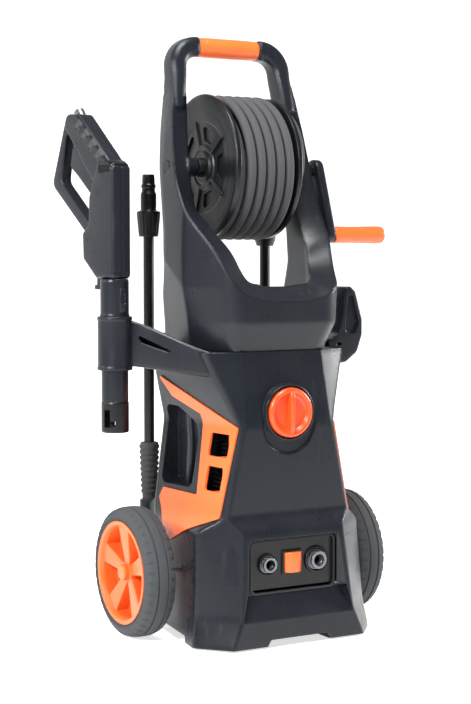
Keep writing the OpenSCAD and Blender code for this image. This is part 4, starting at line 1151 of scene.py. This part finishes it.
@dataclass
class HandleFrame:
    """The uprights, apron and tray in one moulding, and the grip sleeve on the top bar."""

    outer: Table = ((418, 126), (560, 126), (600, 124.5), (666, 119), (739, 113.5), (812, 103), (830, 99))
    inner: Table = ((418, 100), (500, 90), (560, 87), (665, 86), (739, 83), (812, 79), (830, 76))
    rear: Table = ((418, 50), (498, 42), (548, 24), (596, 28), (685, 54), (865, 71))
    front: Table = ((418, -108), (685, 0), (865, 39.5))
    edge: Table = ((0, 490), (35, 490), (68, 499), (88, 514), (100, 536), (115, 556), (132, 574), (150, 591),
                   (170, 611), (190, 636), (205, 660), (220, 692), (259.5, 865), (290, 1000))
    edge_right: Table = ((0, 490), (35, 490), (68, 497), (88, 507), (100, 514), (132, 532), (150, 547), (170, 570),
                         (189, 600), (205, 640), (220, 692), (259.5, 865), (290, 1000))
    lift: Table = ((0, 20), (50, 20), (190, -18), (220, -42), (240, -42), (255, 0))
    bottom_tuck: float = 17.0
    ceiling: float = 1300.0
    bar: tuple[float, float, float] = (0, 54.75, 865)

    def build(self) -> None:
        """Makes the frame and the grip."""
        self._moulding()
        self._grip()

    def _at(self, table: Sequence[Sequence[float]], z: Array, blend_over: float = 7) -> Array:
        """A value from a table, averaged over a short stretch so that its corners are round."""
        pts = np.array(table)
        return np.mean([np.interp(z + d, pts[:, 0], pts[:, 1]) for d in np.linspace(-blend_over, blend_over, 7)], 0)

    def _tuck(self, y: Array | float, z: Array) -> Array:
        """How far the wall stands in below the crease, which climbs from the front corner to the rear."""
        crease = np.interp(y, [-118, 35], [458, 562])
        return self.bottom_tuck * np.clip((crease - z) / (crease - 418), 0, 1)

    def _band(self) -> Shape:
        """Both uprights and the apron as one band that is open at the back, before its top is shaped.

        Each level's outline runs round the outside from right rear to left rear and back round the inside.
        """
        z = np.unique(np.concatenate([np.arange(418, 620, 3.0), np.arange(620, 812, 6.0), [812]]))
        xo, yr = self._at(self.outer, z), self._at(self.rear, z)
        xi = np.minimum(self._at(self.inner, z), xo - self._tuck(35, z) - 15)
        shrink = 1.3 * np.clip((z - 788) / 22, 0, 1)
        xo, xi, yr = xo - shrink, xi + shrink, yr - shrink
        crease_y = np.clip(np.interp(z, [458, 562], [-118, 35]), -30, yr - 13)
        half = np.stack([
            np.stack([xo - 1.5 - self._tuck(yr, z), yr], 1), np.stack([xo - self._tuck(crease_y, z), crease_y], 1),
            np.stack([xo - self._tuck(-40, z), np.full(len(z), -40.0)], 1),
            np.stack([88 - 0.8 * self._tuck(-118, z), -124 + self._tuck(-118, z)], 1)], 1)
        inside = np.stack([np.stack([np.full(len(z), 58.0), np.full(len(z), -95.0)], 1),
                           np.stack([np.minimum(98, xi), np.full(len(z), -34.0)], 1), np.stack([xi + 1.5, yr], 1)], 1)
        flip = np.array([-1, 1])
        rings = np.concatenate([half, half[:, ::-1] * flip, inside[:, ::-1] * flip, inside], 1)
        radii = [7, 2.5, 22, 34, 34, 22, 2.5, 7, 7, 14, 24, 24, 14, 7]
        levels = [place(*fillet(ring, np.array(radii), 7).T, np.full(len(radii) * 7, h), Axis.Z)
                  for ring, h in zip(rings, z)]
        return loft(np.stack(levels))

    def _above(self) -> Shape:
        """All the space above the ledge and in front of the uprights.

        Every place on the plan has a distance along the outside edge, found by its direction from the middle,
        and a depth inwards from it. The height is the edge table's value there, plus the lift table's share
        of the depth.
        """
        outline = fillet([(0, -124), (88, -124), (127, -40), (127, 90)], [0.1, 34, 22, 0.1], 10, False)
        outline = densify(outline, 1.5)
        along = np.concatenate([[0], np.cumsum(np.linalg.norm(np.diff(outline, axis=0), axis=1))])
        step = np.gradient(outline, axis=0)
        inward = np.stack([-step[:, 1], step[:, 0]], 1) / np.linalg.norm(step, axis=1)[:, None]
        x, y = np.arange(-150, 150.1, 3.0), np.arange(-150, 72, 3.0)
        spots = np.stack(np.meshgrid(np.abs(x), y, indexing="ij"), -1)
        gap = np.linalg.norm(spots[:, :, None] - outline, axis=3)
        near = gap.argmin(2)
        depth = ((spots - outline[near]) * inward[near]).sum(2)
        angle = np.arctan2(outline[:, 0], -40 - outline[:, 1])
        ahead = np.interp(np.arctan2(spots[..., 0], -40 - spots[..., 1]), angle, along)
        s = np.where(spots[..., 1] < -40, ahead * 180 / np.interp(math.pi / 2, angle, along), 220 + spots[..., 1])

        def smooth(table: Sequence[Sequence[float]], near: Sequence[float]) -> Array:
            """A table's value along the edge, averaged over the given distances before and after."""
            return np.mean([np.interp(s + d, *np.array(table).T) for d in near], 0)

        wide = range(-12, 13, 3)
        edge = np.where((x > 0)[:, None], smooth(self.edge_right, wide), smooth(self.edge, wide))
        lift = smooth(self.lift, (-9, -3, 3, 9))
        height = edge + lift * np.clip(depth / 28, -0.4, 1.6)
        rings = [place(np.concatenate([y, [y[-1], y[0]]]), np.concatenate([h, [self.ceiling] * 2]),
                       np.full(len(y) + 2, k), Axis.X) for k, h in zip(x, height)]
        return loft(np.stack(rings), (1, 2))

    def _bend(self) -> Shape:
        """The top of one side: the upright's section carried up and round into the top bar."""
        zc, xc, r = 832.0, 55.0, 34.0
        turn = np.linspace(0, math.pi / 2, 16)
        low = np.array([770, 782, 794, 806, 818.0])
        middle = (self._at(self.outer, low) + self._at(self.inner, low)) / 2
        x = np.concatenate([middle, xc + r * np.cos(turn), [51.5]])
        z = np.concatenate([low, zc + (33 * np.sin(turn)), [zc + 33]])
        yf, yr = np.interp(z, *np.array(self.front).T), self._at(self.rear, z)
        path = np.stack([x, (yf + yr) / 2, z], 1)
        grow = np.interp(z, [770, 806, 830], [-2.5, 0.3, 0.6])
        depth = (yr - yf) / 2 + grow
        width = np.interp(z, [770, 806, 818, zc + 30], [13.4, 12.2, 12.4, 14.8]) + np.minimum(grow, 0)
        section = fillet(box_outline(-1, 1, -1, 1) * (15.9, 11.2), 8.5, 8)
        flare = np.stack([depth / 15.9, width / 11.2], 1)
        return sweep(path, section, (0, 1, 0), (0, 2.5), flare)

    def _moulding(self) -> None:
        """Band, top bends, tray floor, shaft bosses and the bar inside the grip, joined."""
        floor_ = prism(fillet([(-76, -106), (76, -106), (100, -56), (104, 40), (-104, 40), (-100, -56)], 10), 418, 440,
                       Axis.Z, 1)
        _, sy, sz = node_centre("reel_drum")
        frame = raw_object("handle_frame_moulding", self._band())
        combine(frame, "DIFFERENCE", self._above())
        joined: list[Shape] = []
        for side in (1, -1):
            boss = turning(fillet([(0.5, 70), (13.5, 70), (14, 76), (18, 90), (0.5, 100)], [0.2, 1.5, 4, 1, 0.2], 5,
                                  False), (0, sy, sz), Axis.X, 48)
            joined += [part if side > 0 else part.mirrored() for part in (self._bend(), boss)]
        joined.append(rod(10, -54, 54, self.bar, Axis.X, 40))
        shaft = rod(9.05, -140, 140, (0, sy, sz), Axis.X, 48)
        for part in (floor_, *joined):
            combine(frame, "UNION", part)
        combine(frame, "DIFFERENCE", shaft)
        finish_piece(frame, FRAME, "chassis", ("handle_frame",), 34)

    def _grip(self) -> None:
        """The sleeve: a slightly crowned tube with fine rings moulded near its ends."""
        low, high = node_box("handle_grip")
        _, y, z = node_centre("handle_grip")
        x = np.linspace(low[0] + 1.2, high[0] - 1.2, 90)
        ring = np.exp(-((np.abs(x) - 44) / 1.2) ** 2) + np.exp(-((np.abs(x) - 40) / 1.2) ** 2)
        outer = np.stack([14.1 + 0.85 * np.sqrt(np.clip(1 - (x / 60) ** 2, 0, 1)) - 0.5 * ring, x], 1)
        profile = np.vstack([[(10.1, low[0]), (13.2, low[0])], outer, [(13.2, high[0]), (10.1, high[0])]])
        grip = turning(profile, (0, y, z), Axis.X, 96, closed=True)
        piece("handle_grip_sleeve", grip, ORANGE, "chassis", ("handle_grip",))


# ---- Controls and connectors ----


@dataclass
class Controls:
    """Port panel, both fittings, the release block, the rotary switch knob, the feet and the cable gland."""

    panel_y: float = -132.0
    port_z: float = 116.0
    port_x: float = 41.0
    knob_r: float = 36.0

    def build(self) -> None:
        """Makes every control."""
        self._panel()
        self._fitting("outlet_fitting", -self.port_x, 11, 4.5, DARK_STEEL)
        self._fitting("inlet_fitting", self.port_x, 13, 5.5, DARK_STEEL)
        self._release()
        self._knob()
        self._feet()
        self._gland()

    def _panel(self) -> None:
        """The recessed panel: a plate inside a raised frame, with a collar round each hole."""
        x, y = 72, self.panel_y
        frame = prism(rounded_box(-x, x, 73, 153, 9), y - 9, y, Axis.Y, 1.2)
        hollow = prism(rounded_box(-x + 4, x - 4, 77, 149, 6), y - 20, y - 4, Axis.Y, 0)
        joined, cuts = [], []
        for at, inner, outer in ((self.port_x, 15.6, 20.5), (-self.port_x, 13.6, 16)):
            ring = fillet([(inner, y - 1), (inner, y - 7.5), (inner + 1.6, y - 8.4), (outer - 1, y - 7.4),
                           (outer, y - 1)],
                          [0.2, 1, 1, 1, 0.2], 4)
            joined.append(turning(ring, (at, 0, self.port_z), Axis.Y, 72, closed=True))
            cuts.append(rod(inner - 0.05, y - 30, y + 10, (at, 0, self.port_z), Axis.Y, 72))
        seat = prism(rounded_box(-17, 17, 98, 134, 3), y - 7, y - 3, Axis.Y, 1)
        slot_ = prism(rounded_box(-14, 14, 101, 131, 2), y - 20, y + 10, Axis.Y, 0)
        panel = raw_object("port_panel_moulding", frame)
        combine(panel, "DIFFERENCE", hollow)
        for k, (ring, cut) in enumerate(zip(joined, cuts)):
            piece(f"port_collar_{k + 1}", ring, BLACK, "chassis")
            combine(panel, "DIFFERENCE", cut)
        combine(panel, "UNION", seat)
        combine(panel, "DIFFERENCE", slot_)
        finish_piece(panel, BLACK, "chassis", ("port_panel",), 35)

    def _fitting(self, name: str, x: float, r: float, bore: float, finish: Finish) -> None:
        """A turned fitting with a chamfered mouth, a groove for a seal and a flange behind the panel."""
        front, back = self.panel_y - 14, node_box(name)[1][1]
        profile = fillet([(bore, back), (bore, front + 8), (bore + 2.6, front + 4), (bore + 3, front), (r, front),
                          (r, front + 4), (r - 1, front + 4.4), (r - 1, front + 6), (r, front + 6.4),
                          (r, self.panel_y - 5),
                          (r + 2, self.panel_y - 5), (r + 2, self.panel_y + 10), (r + 1, self.panel_y + 10),
                          (r + 1, back)],
                         0.5, 4)
        piece(f"{name}_turned", turning(profile, (x, 0, self.port_z), Axis.Y, 80, closed=True), finish, "chassis",
              (name,))

    def _release(self) -> None:
        """The release block: a wedge-faced key with a ribbed middle."""
        y = self.panel_y
        outline = fillet([(-13.5, y + 2), (-13.5, y - 9), (-5.5, y - 14.6), (5.5, y - 14.6), (13.5, y - 9),
                          (13.5, y + 2)],
                         1.2, 4)
        key = prism(outline, self.port_z - 14.5, self.port_z + 14.5, Axis.Z, 1.6)
        ribs = [prism(rounded_box(-4.5, 4.5, y - 16, y - 10, 0.8), self.port_z + k * 6 - 1.1,
                      self.port_z + k * 6 + 1.1, Axis.Z, 0.7) for k in (-1, 0, 1)]
        piece("release_key", key, ORANGE, "release", ("release_button",), joined=ribs)

    def _knob(self) -> None:
        """The switch knob: a fluted skirt, a rounded rim, a dished face and a tall rib that narrows to its ends."""
        _, _, z = node_centre("switch_box")
        y, r = self.panel_y, self.knob_r
        face = fillet([(0.5, y + 9), (r - 1.5, y + 9), (r, y + 5), (r - 0.3, y - 3), (r - 3.4, y - 6),
                       (r - 7.4, y - 4.6),
                       (r - 11, y + 1.2), (0.5, y + 1.6)], [0.2, 1, 2, 3.4, 3, 2.6, 6, 0.2], 6, False)

        def flutes(angle: Array, along: Array) -> Array:
            """Shallow flutes round the skirt that stop short of the rim."""
            return -0.5 * np.clip((along - (y - 1)) / 3, 0, 1) * (0.5 + 0.5 * np.cos(36 * angle))

        knob = turning(densify(face, 1.2), (0, 0, z), Axis.Y, 216, wave=flutes)
        t = np.linspace(-1, 1, 41)
        path = np.stack([np.zeros(41), np.full(41, y - 1.2), z + 30.5 * t], 1)
        shape = np.sqrt(np.clip(1 - t**4, 0.02, 1))
        rib = sweep(path, rounded_box(-3.6, 3.6, -8.6, 8.6, 3), (1, 0, 0),
                    flare=np.stack([0.55 + 0.45 * shape, 0.45 + 0.55 * shape], 1))
        spindle = rod(4, y + 8, -92, (0, 0, z), Axis.Y, 32)
        piece("switch_knob_moulding", knob, KNOB_ORANGE, "switch_dial", ("switch_knob",), joined=[rib, spindle])

    def _feet(self) -> None:
        """Two rubber pads with moulded ribs under them."""
        outline = fillet([(56, -150), (98, -150), (110, -138), (110, -116), (56, -116)], 4)
        foot = prism(outline, 0, 12, Axis.Z, 1.6)
        cuts = [prism(box_outline(40, 120, -145 + 6 * k, -143.5 + 6 * k), -5, 1, Axis.Z, 0) for k in range(5)]
        piece("rubber_feet_pads", foot, SOFT_GRIP, "chassis", ("rubber_feet",), cut=cuts)
        other = copy_of(bpy.data.objects["rubber_feet_pads"], "rubber_foot_left")
        mirror_object(other)
        finish_piece(other, SOFT_GRIP, "chassis")

    def _gland(self) -> None:
        """The mains cable's gland: a ribbed sleeve with a six-sided nut."""
        _, _, z = node_centre("cable_gland")
        profile = fillet([(4.5, 78), (9.5, 78), (9.5, 97), (8.8, 98), (8.8, 99), (9.4, 99.5), (9.2, 102), (4.5, 102)],
                         0.4, 3)
        sleeve = turning(profile, (0, 0, z), Axis.Y, 60, closed=True)
        nut = prism(fillet(circle(13, 6) + (0, z), 1), 89, 94, Axis.Y, 0.8,
                    holes=[(circle(9, 48) + (0, z))[::-1]])
        piece("cable_gland_sleeve", sleeve, BLACK, "chassis", ("cable_gland",))
        piece("cable_gland_nut", nut, BLACK, "chassis")


# ---- Holster, hook and lance rack ----


@dataclass
class Holders:
    """The gun's holster on its arm, the cable hook and the rack that clips the lances."""

    gun_x: float = -210.0
    gun_y: float = 9.0
    lance_x: float = 103.0
    lance_y: float = 111.0

    def build(self) -> None:
        """Makes the three holders."""
        self._holster()
        self._hook()
        self._rack()

    def _holster(self) -> None:
        """A sleeve on an arm.

        The arm's section is a rounded rectangle in Y and Z whose four sides move from the body to the sleeve
        by a smooth step of the place along X.
        """
        foot = node_box("gun_holster")[0][2]
        x = np.linspace(-100, self.gun_x + 18, 28)
        t = (x - x[0]) / (x[-1] - x[0])
        ease = t * t * (3 - 2 * t) * 0.6 + 0.4 * t
        y0, y1 = -92 + 87 * ease, 30 - 7 * ease
        z0, z1 = 382 + 14 * ease, 417.5 + 45 * ease
        corners = np.stack([np.stack([y0, z0], 1), np.stack([y1, z0], 1), np.stack([y1, z1], 1),
                            np.stack([y0, z1], 1)], 1)
        arm = loft(np.stack([place(r[:, 0], r[:, 1], np.full(len(r), k), Axis.X)
                             for r, k in zip(fillet(corners, 5, 6), x)]), (1, 2))
        r0, r1, top = 22.0, 25.4, 468.0
        sleeve = turning(fillet([(r0, foot + 5), (r0, top - 2), (r0 + 1, top), (r1 - 0.4, top), (r1, top - 4),
                                 (r1 - 0.8, top - 6), (r1 - 0.8, foot + 6), (r1, foot + 4), (r1, foot), (20.7, foot),
                                 (20.7, foot + 5)], 0.7, 4), (self.gun_x, self.gun_y, 0), Axis.Z, 96, closed=True)
        bore = rod(22.05, foot + 5, 520, (self.gun_x, self.gun_y, 0), Axis.Z, 96)
        throat = rod(20.65, 300, 500, (self.gun_x, self.gun_y, 0), Axis.Z, 96)
        rib = prism(fillet([(self.gun_x - 6, -19.8), (self.gun_x + 8, -19.8), (self.gun_x + 9, -8),
                            (self.gun_x - 7, -8)], 2),
                    foot + 3, 442, Axis.Z, 2)
        slot_ = prism(fillet([(-184, 443), (-178, 430), (-126, 406)], 2.5), -110, 8, Axis.Y, 0)
        piece("gun_holster_moulding", sleeve, ANTHRACITE, "chassis", ("gun_holster",), joined=[arm, rib],
              cut=[bore, throat, slot_])

    def _hook(self) -> None:
        """The cable hook: a curved horn with rounded rims, a hollow in its face and a small oval hole."""
        outer = fillet([(116, 389), (150, 393), (170, 408), (179, 434), (179, 458), (167, 500), (158, 507.6),
                        (149, 507.6), (145, 494), (142, 462), (134, 438), (116, 428)],
                       [4, 16, 14, 14, 16, 8, 4, 4, 10, 16, 10, 4], 6)
        hollow = fillet([(148, 440), (165, 434), (172, 452), (161, 494), (153, 497), (149, 466)], 4)
        horn = prism(outer, -52, -20, Axis.Y, 3.4, steps=5)
        cuts = [prism(hollow, -70, -46.5, Axis.Y, 0), prism(hollow, -25.5, 0, Axis.Y, 0),
                prism(rounded_box(132, 141, 419, 424, 2.4), -60, -46, Axis.Y, 0)]
        piece("cable_hook_moulding", horn, ANTHRACITE, "chassis", ("cable_hook",), cut=cuts)

    def _rack(self) -> None:
        """A bar behind the body with an open clip at each end."""
        low, high = node_box("lance_rack")
        z0, z1, y = low[2], high[2], self.lance_y
        bar = prism(rounded_box(-self.lance_x, self.lance_x, y - 34, y - 20.5, 3), z0, z1, Axis.Z, 2.2)
        rib = prism(rounded_box(-70, 70, y - 22, y - 17.5, 2), z0 + 6, z1 - 6, Axis.Z, 1.5)
        joined, cuts = [rib], []
        for s in (-1, 1):
            x = s * self.lance_x
            joined.append(prism(rounded_box(x - 8.6, x + 8.6, y - 34, y - 10, 3), z0 + 6, z1, Axis.Z, 1.5))
            joined.append(turning(fillet([(8.55, z0 + 6), (14, z0 + 6), (14, z1), (8.55, z1)], 1.2, 4), (x, y, 0),
                                  Axis.Z, 60, closed=True))
            cuts.append(rod(8.5, 300, 600, (x, y, 0), Axis.Z, 48))
            cuts.append(prism(fillet([(x - 6.2, y), (x + 6.2, y), (x + 9, y + 30), (x - 9, y + 30)], 0.8), 300, 600,
                              Axis.Z, 0))
        piece("lance_rack_moulding", bar, ANTHRACITE, "chassis", ("lance_rack",), joined=joined, cut=cuts)


# ---- Spray gun ----


@dataclass
class Gun:
    """The spray gun, drawn in its own plane: distance behind the barrel's axis against Z, then turned."""

    x: float = -210.0
    y: float = 9.0
    turn: float = 8.0
    half: float = 16.0
    bore_r: float = 8.55
    pads: int = 4
    pad_pitch: float = 23.0
    pad_length: float = 19.5
    body: Table = ((-20, 522), (26, 522), (60, 550), (62, 588), (46, 600), (44, 640), (20, 690), (-8, 690),
                   (-20, 681))
    grip: Table = ((-8, 688), (0, 650), (40, 664), (112, 744), (106, 763), (74, 761))
    guard: Table = ((30, 590), (62, 588), (153, 660), (114, 760), (98, 752), (36, 684))
    guard_hole: Table = ((50, 672), (40, 640), (46, 598), (128, 664), (112, 744))
    trigger: Table = ((26, 650), (36, 645), (54, 645), (88, 672), (108, 686), (102, 712), (94, 718), (30, 664))
    slot_outline: Table = ((22, 650), (44, 634), (124, 676), (118, 738), (98, 744), (26, 676))

    def build(self) -> None:
        """Makes every visible piece of the gun."""
        self._shells()
        self._bands()
        self._screws()
        self._barrel()
        self._collar()
        self._trigger()

    def placed(self, shape: Shape) -> Shape:
        """A shape drawn in the gun's plane, carried to where the gun hangs."""
        return shape.turned(Axis.Z, self.turn).shifted(self.x, self.y)

    def _shells(self) -> None:
        """Both halves: rounded body, grip and guard joined, cut for the trigger and inner parts, and parted."""
        h = self.half
        body = prism(fillet(self.body, [7, 7, 7, 9, 12, 14, 8, 8, 7], 6), -h, h, Axis.X, 5, steps=5)
        grip = prism(fillet(self.grip, [8, 8, 8, 9, 9, 9], 6), -h + 1, h - 1, Axis.X, 6, steps=5)
        guard = prism(fillet(self.guard, [10, 6, 14, 6, 3, 6], 6), -9, 9, Axis.X, 2.2, steps=4,
                      holes=[fillet(self.guard_hole, [6, 8, 8, 12, 8], 6)[::-1]])
        tail = prism(fillet([(40, 540), (66, 548), (70, 586), (48, 596)], 5), -10, 10, Axis.X, 3)
        valve = rod(self.bore_r, 400, 674, (0, 0, 0), Axis.Z, 40)
        slot_ = prism(fillet(self.slot_outline, 4), -6.5, 6.5, Axis.X, 0)
        step = prism(fillet([(-40, 519), (-40, 532), (-18.6, 532), (-18.6, 519)][::-1], 0.6), -30, 30, Axis.X, 0)
        lock = prism(box_outline(24, 44, 518, 534), -4.5, 4.5, Axis.X, 0)
        whole = raw_object("gun_whole", self.placed(body))
        for part in (grip, tail):
            combine(whole, "UNION", self.placed(part))
        guard_obj = raw_object("gun_guard", self.placed(guard))
        combine(whole, "UNION", guard_obj)
        for cut in (valve, slot_, step, lock):
            combine(whole, "DIFFERENCE", self.placed(cut))
        for side, word in ((-1, "left"), (1, "right")):
            half = copy_of(whole, f"gun_shell_{word}_moulding")
            low, high = sorted((side * 0.2, side * 60))
            combine(half, "INTERSECT", self.placed(block(low, high, -80, 200, 400, 900)))
            finish_piece(half, ANTHRACITE, "gun", (f"gun_shell_{word}",), 30)
        spare = whole.data
        bpy.data.objects.remove(whole)
        bpy.data.meshes.remove(spare)

    def _bands(self) -> None:
        """Soft pads round the back of the grip: each follows the grip's edge and is parted by a groove."""
        start, direction = np.array([-2.0, 692.0]), np.array([82.0, 72.0]) / math.hypot(82, 72)
        inward = np.array([direction[1], -direction[0]])
        for k in range(self.pads):
            a = 8 + self.pad_pitch * k
            b = a + self.pad_length
            corners = [start + direction * s + inward * d for s, d in ((a, -0.9), (a + 3, 21), (b + 3, 21), (b, -0.9))]
            pad = prism(fillet(np.array(corners), 3.2), -self.half + 0.05, self.half - 0.05, Axis.X, 6.5, steps=5)
            piece(f"gun_grip_pad_{k + 1}", self.placed(pad), SOFT_GRIP, "gun")
        dome = fillet([(-19.6, 672), (-12, 668), (22, 668), (24, 680), (19, 691.4), (-8, 691.2), (-17, 686)], 4)
        cap_ = prism(dome, -self.half, self.half, Axis.X, 6.5, steps=5)
        piece("gun_back_cap", self.placed(cap_), BLACK, "gun")

    def _screws(self) -> None:
        """Recessed screws on both faces of the shells."""
        spots = ((6, 668), (48, 578), (6, 566), (32, 560), (64, 738), (20, 644))
        profile = fillet([(0.4, 0), (3.4, 0), (3.4, 1.6), (2.6, 1.6), (2.2, 0.9), (0.4, 0.9)], 0.2, 3, False)
        for n, (t, z) in enumerate(spots):
            for side in (-1, 1):
                depth = self.half - 1.2 - (1 if n == 4 else 0)
                head = turning(profile * (1, side) + (0, side * depth), (0, t, z), Axis.X, 24)
                piece(f"gun_screw_{n + 1}_{'left' if side < 0 else 'right'}", self.placed(head), BLACK, "gun")

    def _barrel(self) -> None:
        """The neck and barrel: turned steps with a latch in front and fins round the neck."""
        profile = fillet([(self.bore_r, 346), (19.4, 346), (19.4, 392), (19.4, 396.2), (21.4, 396.4), (21.4, 470),
                          (20.6, 472), (20.6, 518), (19.6, 521.8), (self.bore_r, 521.8)], 0.8, 4)
        neck = turning(densify(np.vstack([profile, profile[:1]]), 4)[:-1], (0, 0, 0), Axis.Z, 120, closed=True)
        latch = prism(rounded_box(-5, 5, -22.8, -10, 1.6), 474, 508, Axis.Z, 1.4)
        inner = rod(self.bore_r, 300, 600, (0, 0, 0), Axis.Z, 40)
        nick = prism(rounded_box(-3, 3, 486, 500, 1.2), -30, -21.6, Axis.Y, 0)
        fins = [prism(fillet(circle(1.1, 8) + (20.3 * math.cos(a), 20.3 * math.sin(a)), 0.3), 476, 516, Axis.Z, 0.5)
                for a in np.radians(np.arange(20, 341, 20)) if abs(a - 1.5 * math.pi) > 0.5]
        piece("gun_barrel_turned", self.placed(neck), ANTHRACITE, "gun", ("gun_barrel",),
              joined=[self.placed(latch), *(self.placed(fin) for fin in fins)],
              cut=[self.placed(nick), self.placed(inner)])

    def _collar(self) -> None:
        """The bayonet collar: a ribbed ring with an L-shaped slot on each side."""
        low, high = 301.0, 345.9
        profile = fillet([(13, low), (19.2, low), (20, low + 2), (20, high - 3), (19.2, high), (self.bore_r, high),
                          (self.bore_r, low + 28), (13, low + 28)], 0.8, 4)
        collar = turning(profile, (0, 0, 0), Axis.Z, 96, closed=True)
        cuts = []
        for a in (20, 200):
            for cut in (block(8, 30, -5, 5, low + 8, low + 34), block(8, 30, -5, 12, low + 8, low + 17)):
                cuts.append(self.placed(cut.turned(Axis.Z, a)))
        angles = np.radians([*range(55, 175, 12), *range(235, 355, 12)])
        fins = [self.placed(prism(fillet(circle(1.2, 8) + (19.2 * math.cos(a), 19.2 * math.sin(a)), 0.3),
                                  low + 6, high - 5, Axis.Z, 0.5)) for a in angles.tolist()]
        piece("gun_collar_turned", self.placed(collar), BLACK, "gun", ("gun_collar",), joined=fins, cut=cuts)

    def _trigger(self) -> None:
        """The trigger lever with its pin, and the slide that locks it."""
        lever = prism(fillet(self.trigger, [5, 5, 6, 8, 5, 5, 5, 6], 6), -6, 6, Axis.X, 2.2, steps=4)
        pin = rod(3, -15, 15, (0, 34, 656), Axis.X, 24)
        piece("gun_trigger_lever", self.placed(lever), ANTHRACITE, "trigger", ("gun_trigger",),
              joined=[self.placed(pin)])
        slide = prism(fillet([(28, 506), (46, 506), (46, 512), (40, 513), (40, 530), (28, 530)], 1.2), -4, 4, Axis.X, 1)
        piece("trigger_lock_slide", self.placed(slide), BLACK, "lock", ("trigger_lock",))


# ---- Lances ----


@dataclass
class Lance:
    """One lance: its ribbed grip and its nozzle, turned about the tube's axis."""

    nozzle: Table
    body: str
    tip_body: str
    word: str
    flute_from: float = 0.0
    flute_to: float = 0.0
    lance_y: float = 111.0

    def build(self) -> None:
        """Makes the grip, the foot and the nozzle."""
        low = node_box(f"{self.word}_tube")[0]
        x = node_centre(f"{self.word}_tube")[0]
        self.centre = (float(x), self.lance_y, 0.0)
        self._grip(float(low[2]) - 26)
        self._nozzle()

    def _grip(self, foot: float) -> None:
        """A tapered grip with rounded rings and flats between them; its foot stands in the body's cup."""
        rings = []
        for k in range(9):
            z, r = foot + 31 + 8.6 * k, 12.9 + 0.32 * k
            rings += [(r - 1.5, z), (r, z + 1.4), (r, z + 5), (r - 1.5, z + 6.4)]
        profile = [(4, foot + 1), (11, foot + 1), (11, foot + 26), *rings, (13.6, foot + 109.6), (8.05, foot + 109.8),
                   (8.05, foot + 26), (4, foot + 26)]
        shape = turning(fillet(profile, 0.8, 4), self.centre, Axis.Z, 72, closed=True)
        piece(f"{self.word}_grip_rings", shape, SOFT_GRIP, self.body, (f"{self.word}_grip",))

    def _nozzle(self) -> None:
        """The nozzle's steps and cone; its grip band has flutes that fade out at both ends."""
        profile = densify(fillet(self.nozzle, 0.9, 4), 3)

        def flutes(angle: Array, along: Array) -> Array:
            """Rounded flutes over the grip band of the outer surface."""
            fade = np.clip((along - self.flute_from) / 3, 0, 1) * np.clip((self.flute_to - along) / 3, 0, 1)
            return -0.75 * fade * (0.5 + 0.5 * np.cos(18 * angle))

        shape = turning(profile, self.centre, Axis.Z, 144, closed=True, wave=flutes)
        piece(f"{self.word}_nozzle_turned", shape, BLACK, self.tip_body, (f"{self.word}_nozzle",))


def lances() -> list[Lance]:
    """Both lances with their nozzles' outlines as radius and level."""
    vario = ((8.05, 583), (14.6, 583), (15, 586), (18, 617), (18, 621), (14, 622), (11.6, 624), (12, 629), (12, 647),
             (10, 652), (10, 656), (11, 657), (11, 661), (9.6, 663), (9.6, 669), (9, 677), (3, 677), (3, 604),
             (8.05, 604))
    turbo = ((8.05, 569), (13, 569), (16.8, 580), (17, 584), (17, 621), (13, 633), (12, 636), (12, 640), (10.6, 645),
             (3, 645), (3, 604), (8.05, 604))
    return [Lance(vario, "vario_lance", "vario_tip", "vario", 585, 619),
            Lance(turbo, "turbo_lance", "turbo_lance", "turbo", 584, 621)]


def dress_inner_nodes(nodes: dict[str, bpy.types.Object], record: dict) -> None:
    """Gives every CAD node that stays in view the finish of its material slot."""
    slots = {part["node"]: part["material_slot"] for part in record["subparts"]}
    for name, obj in nodes.items():
        if obj.hide_render:
            continue
        finish = NODE_FINISH.get(name) or SLOT_FINISH.get(slots.get(name), BLACK)
        obj.data.materials.clear()
        obj.data.materials.append(finish.material())
        log.info("%s keeps its CAD mesh, in %s", name, finish.name)


def main() -> None:
    """Builds the stage and every sub-assembly."""
    logging.basicConfig(level=logging.INFO, format="%(message)s")
    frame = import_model()
    Stage().build()
    HoseReel().build()
    for side in (-1, 1):
        Wheel(side).build()
    Covers().build()
    HandleFrame().build()
    Controls().build()
    Holders().build()
    Gun().build()
    for lance in lances():
        lance.build()
    dress_inner_nodes(frame["nodes"], frame["record"])


if __name__ == "__main__":
    main()
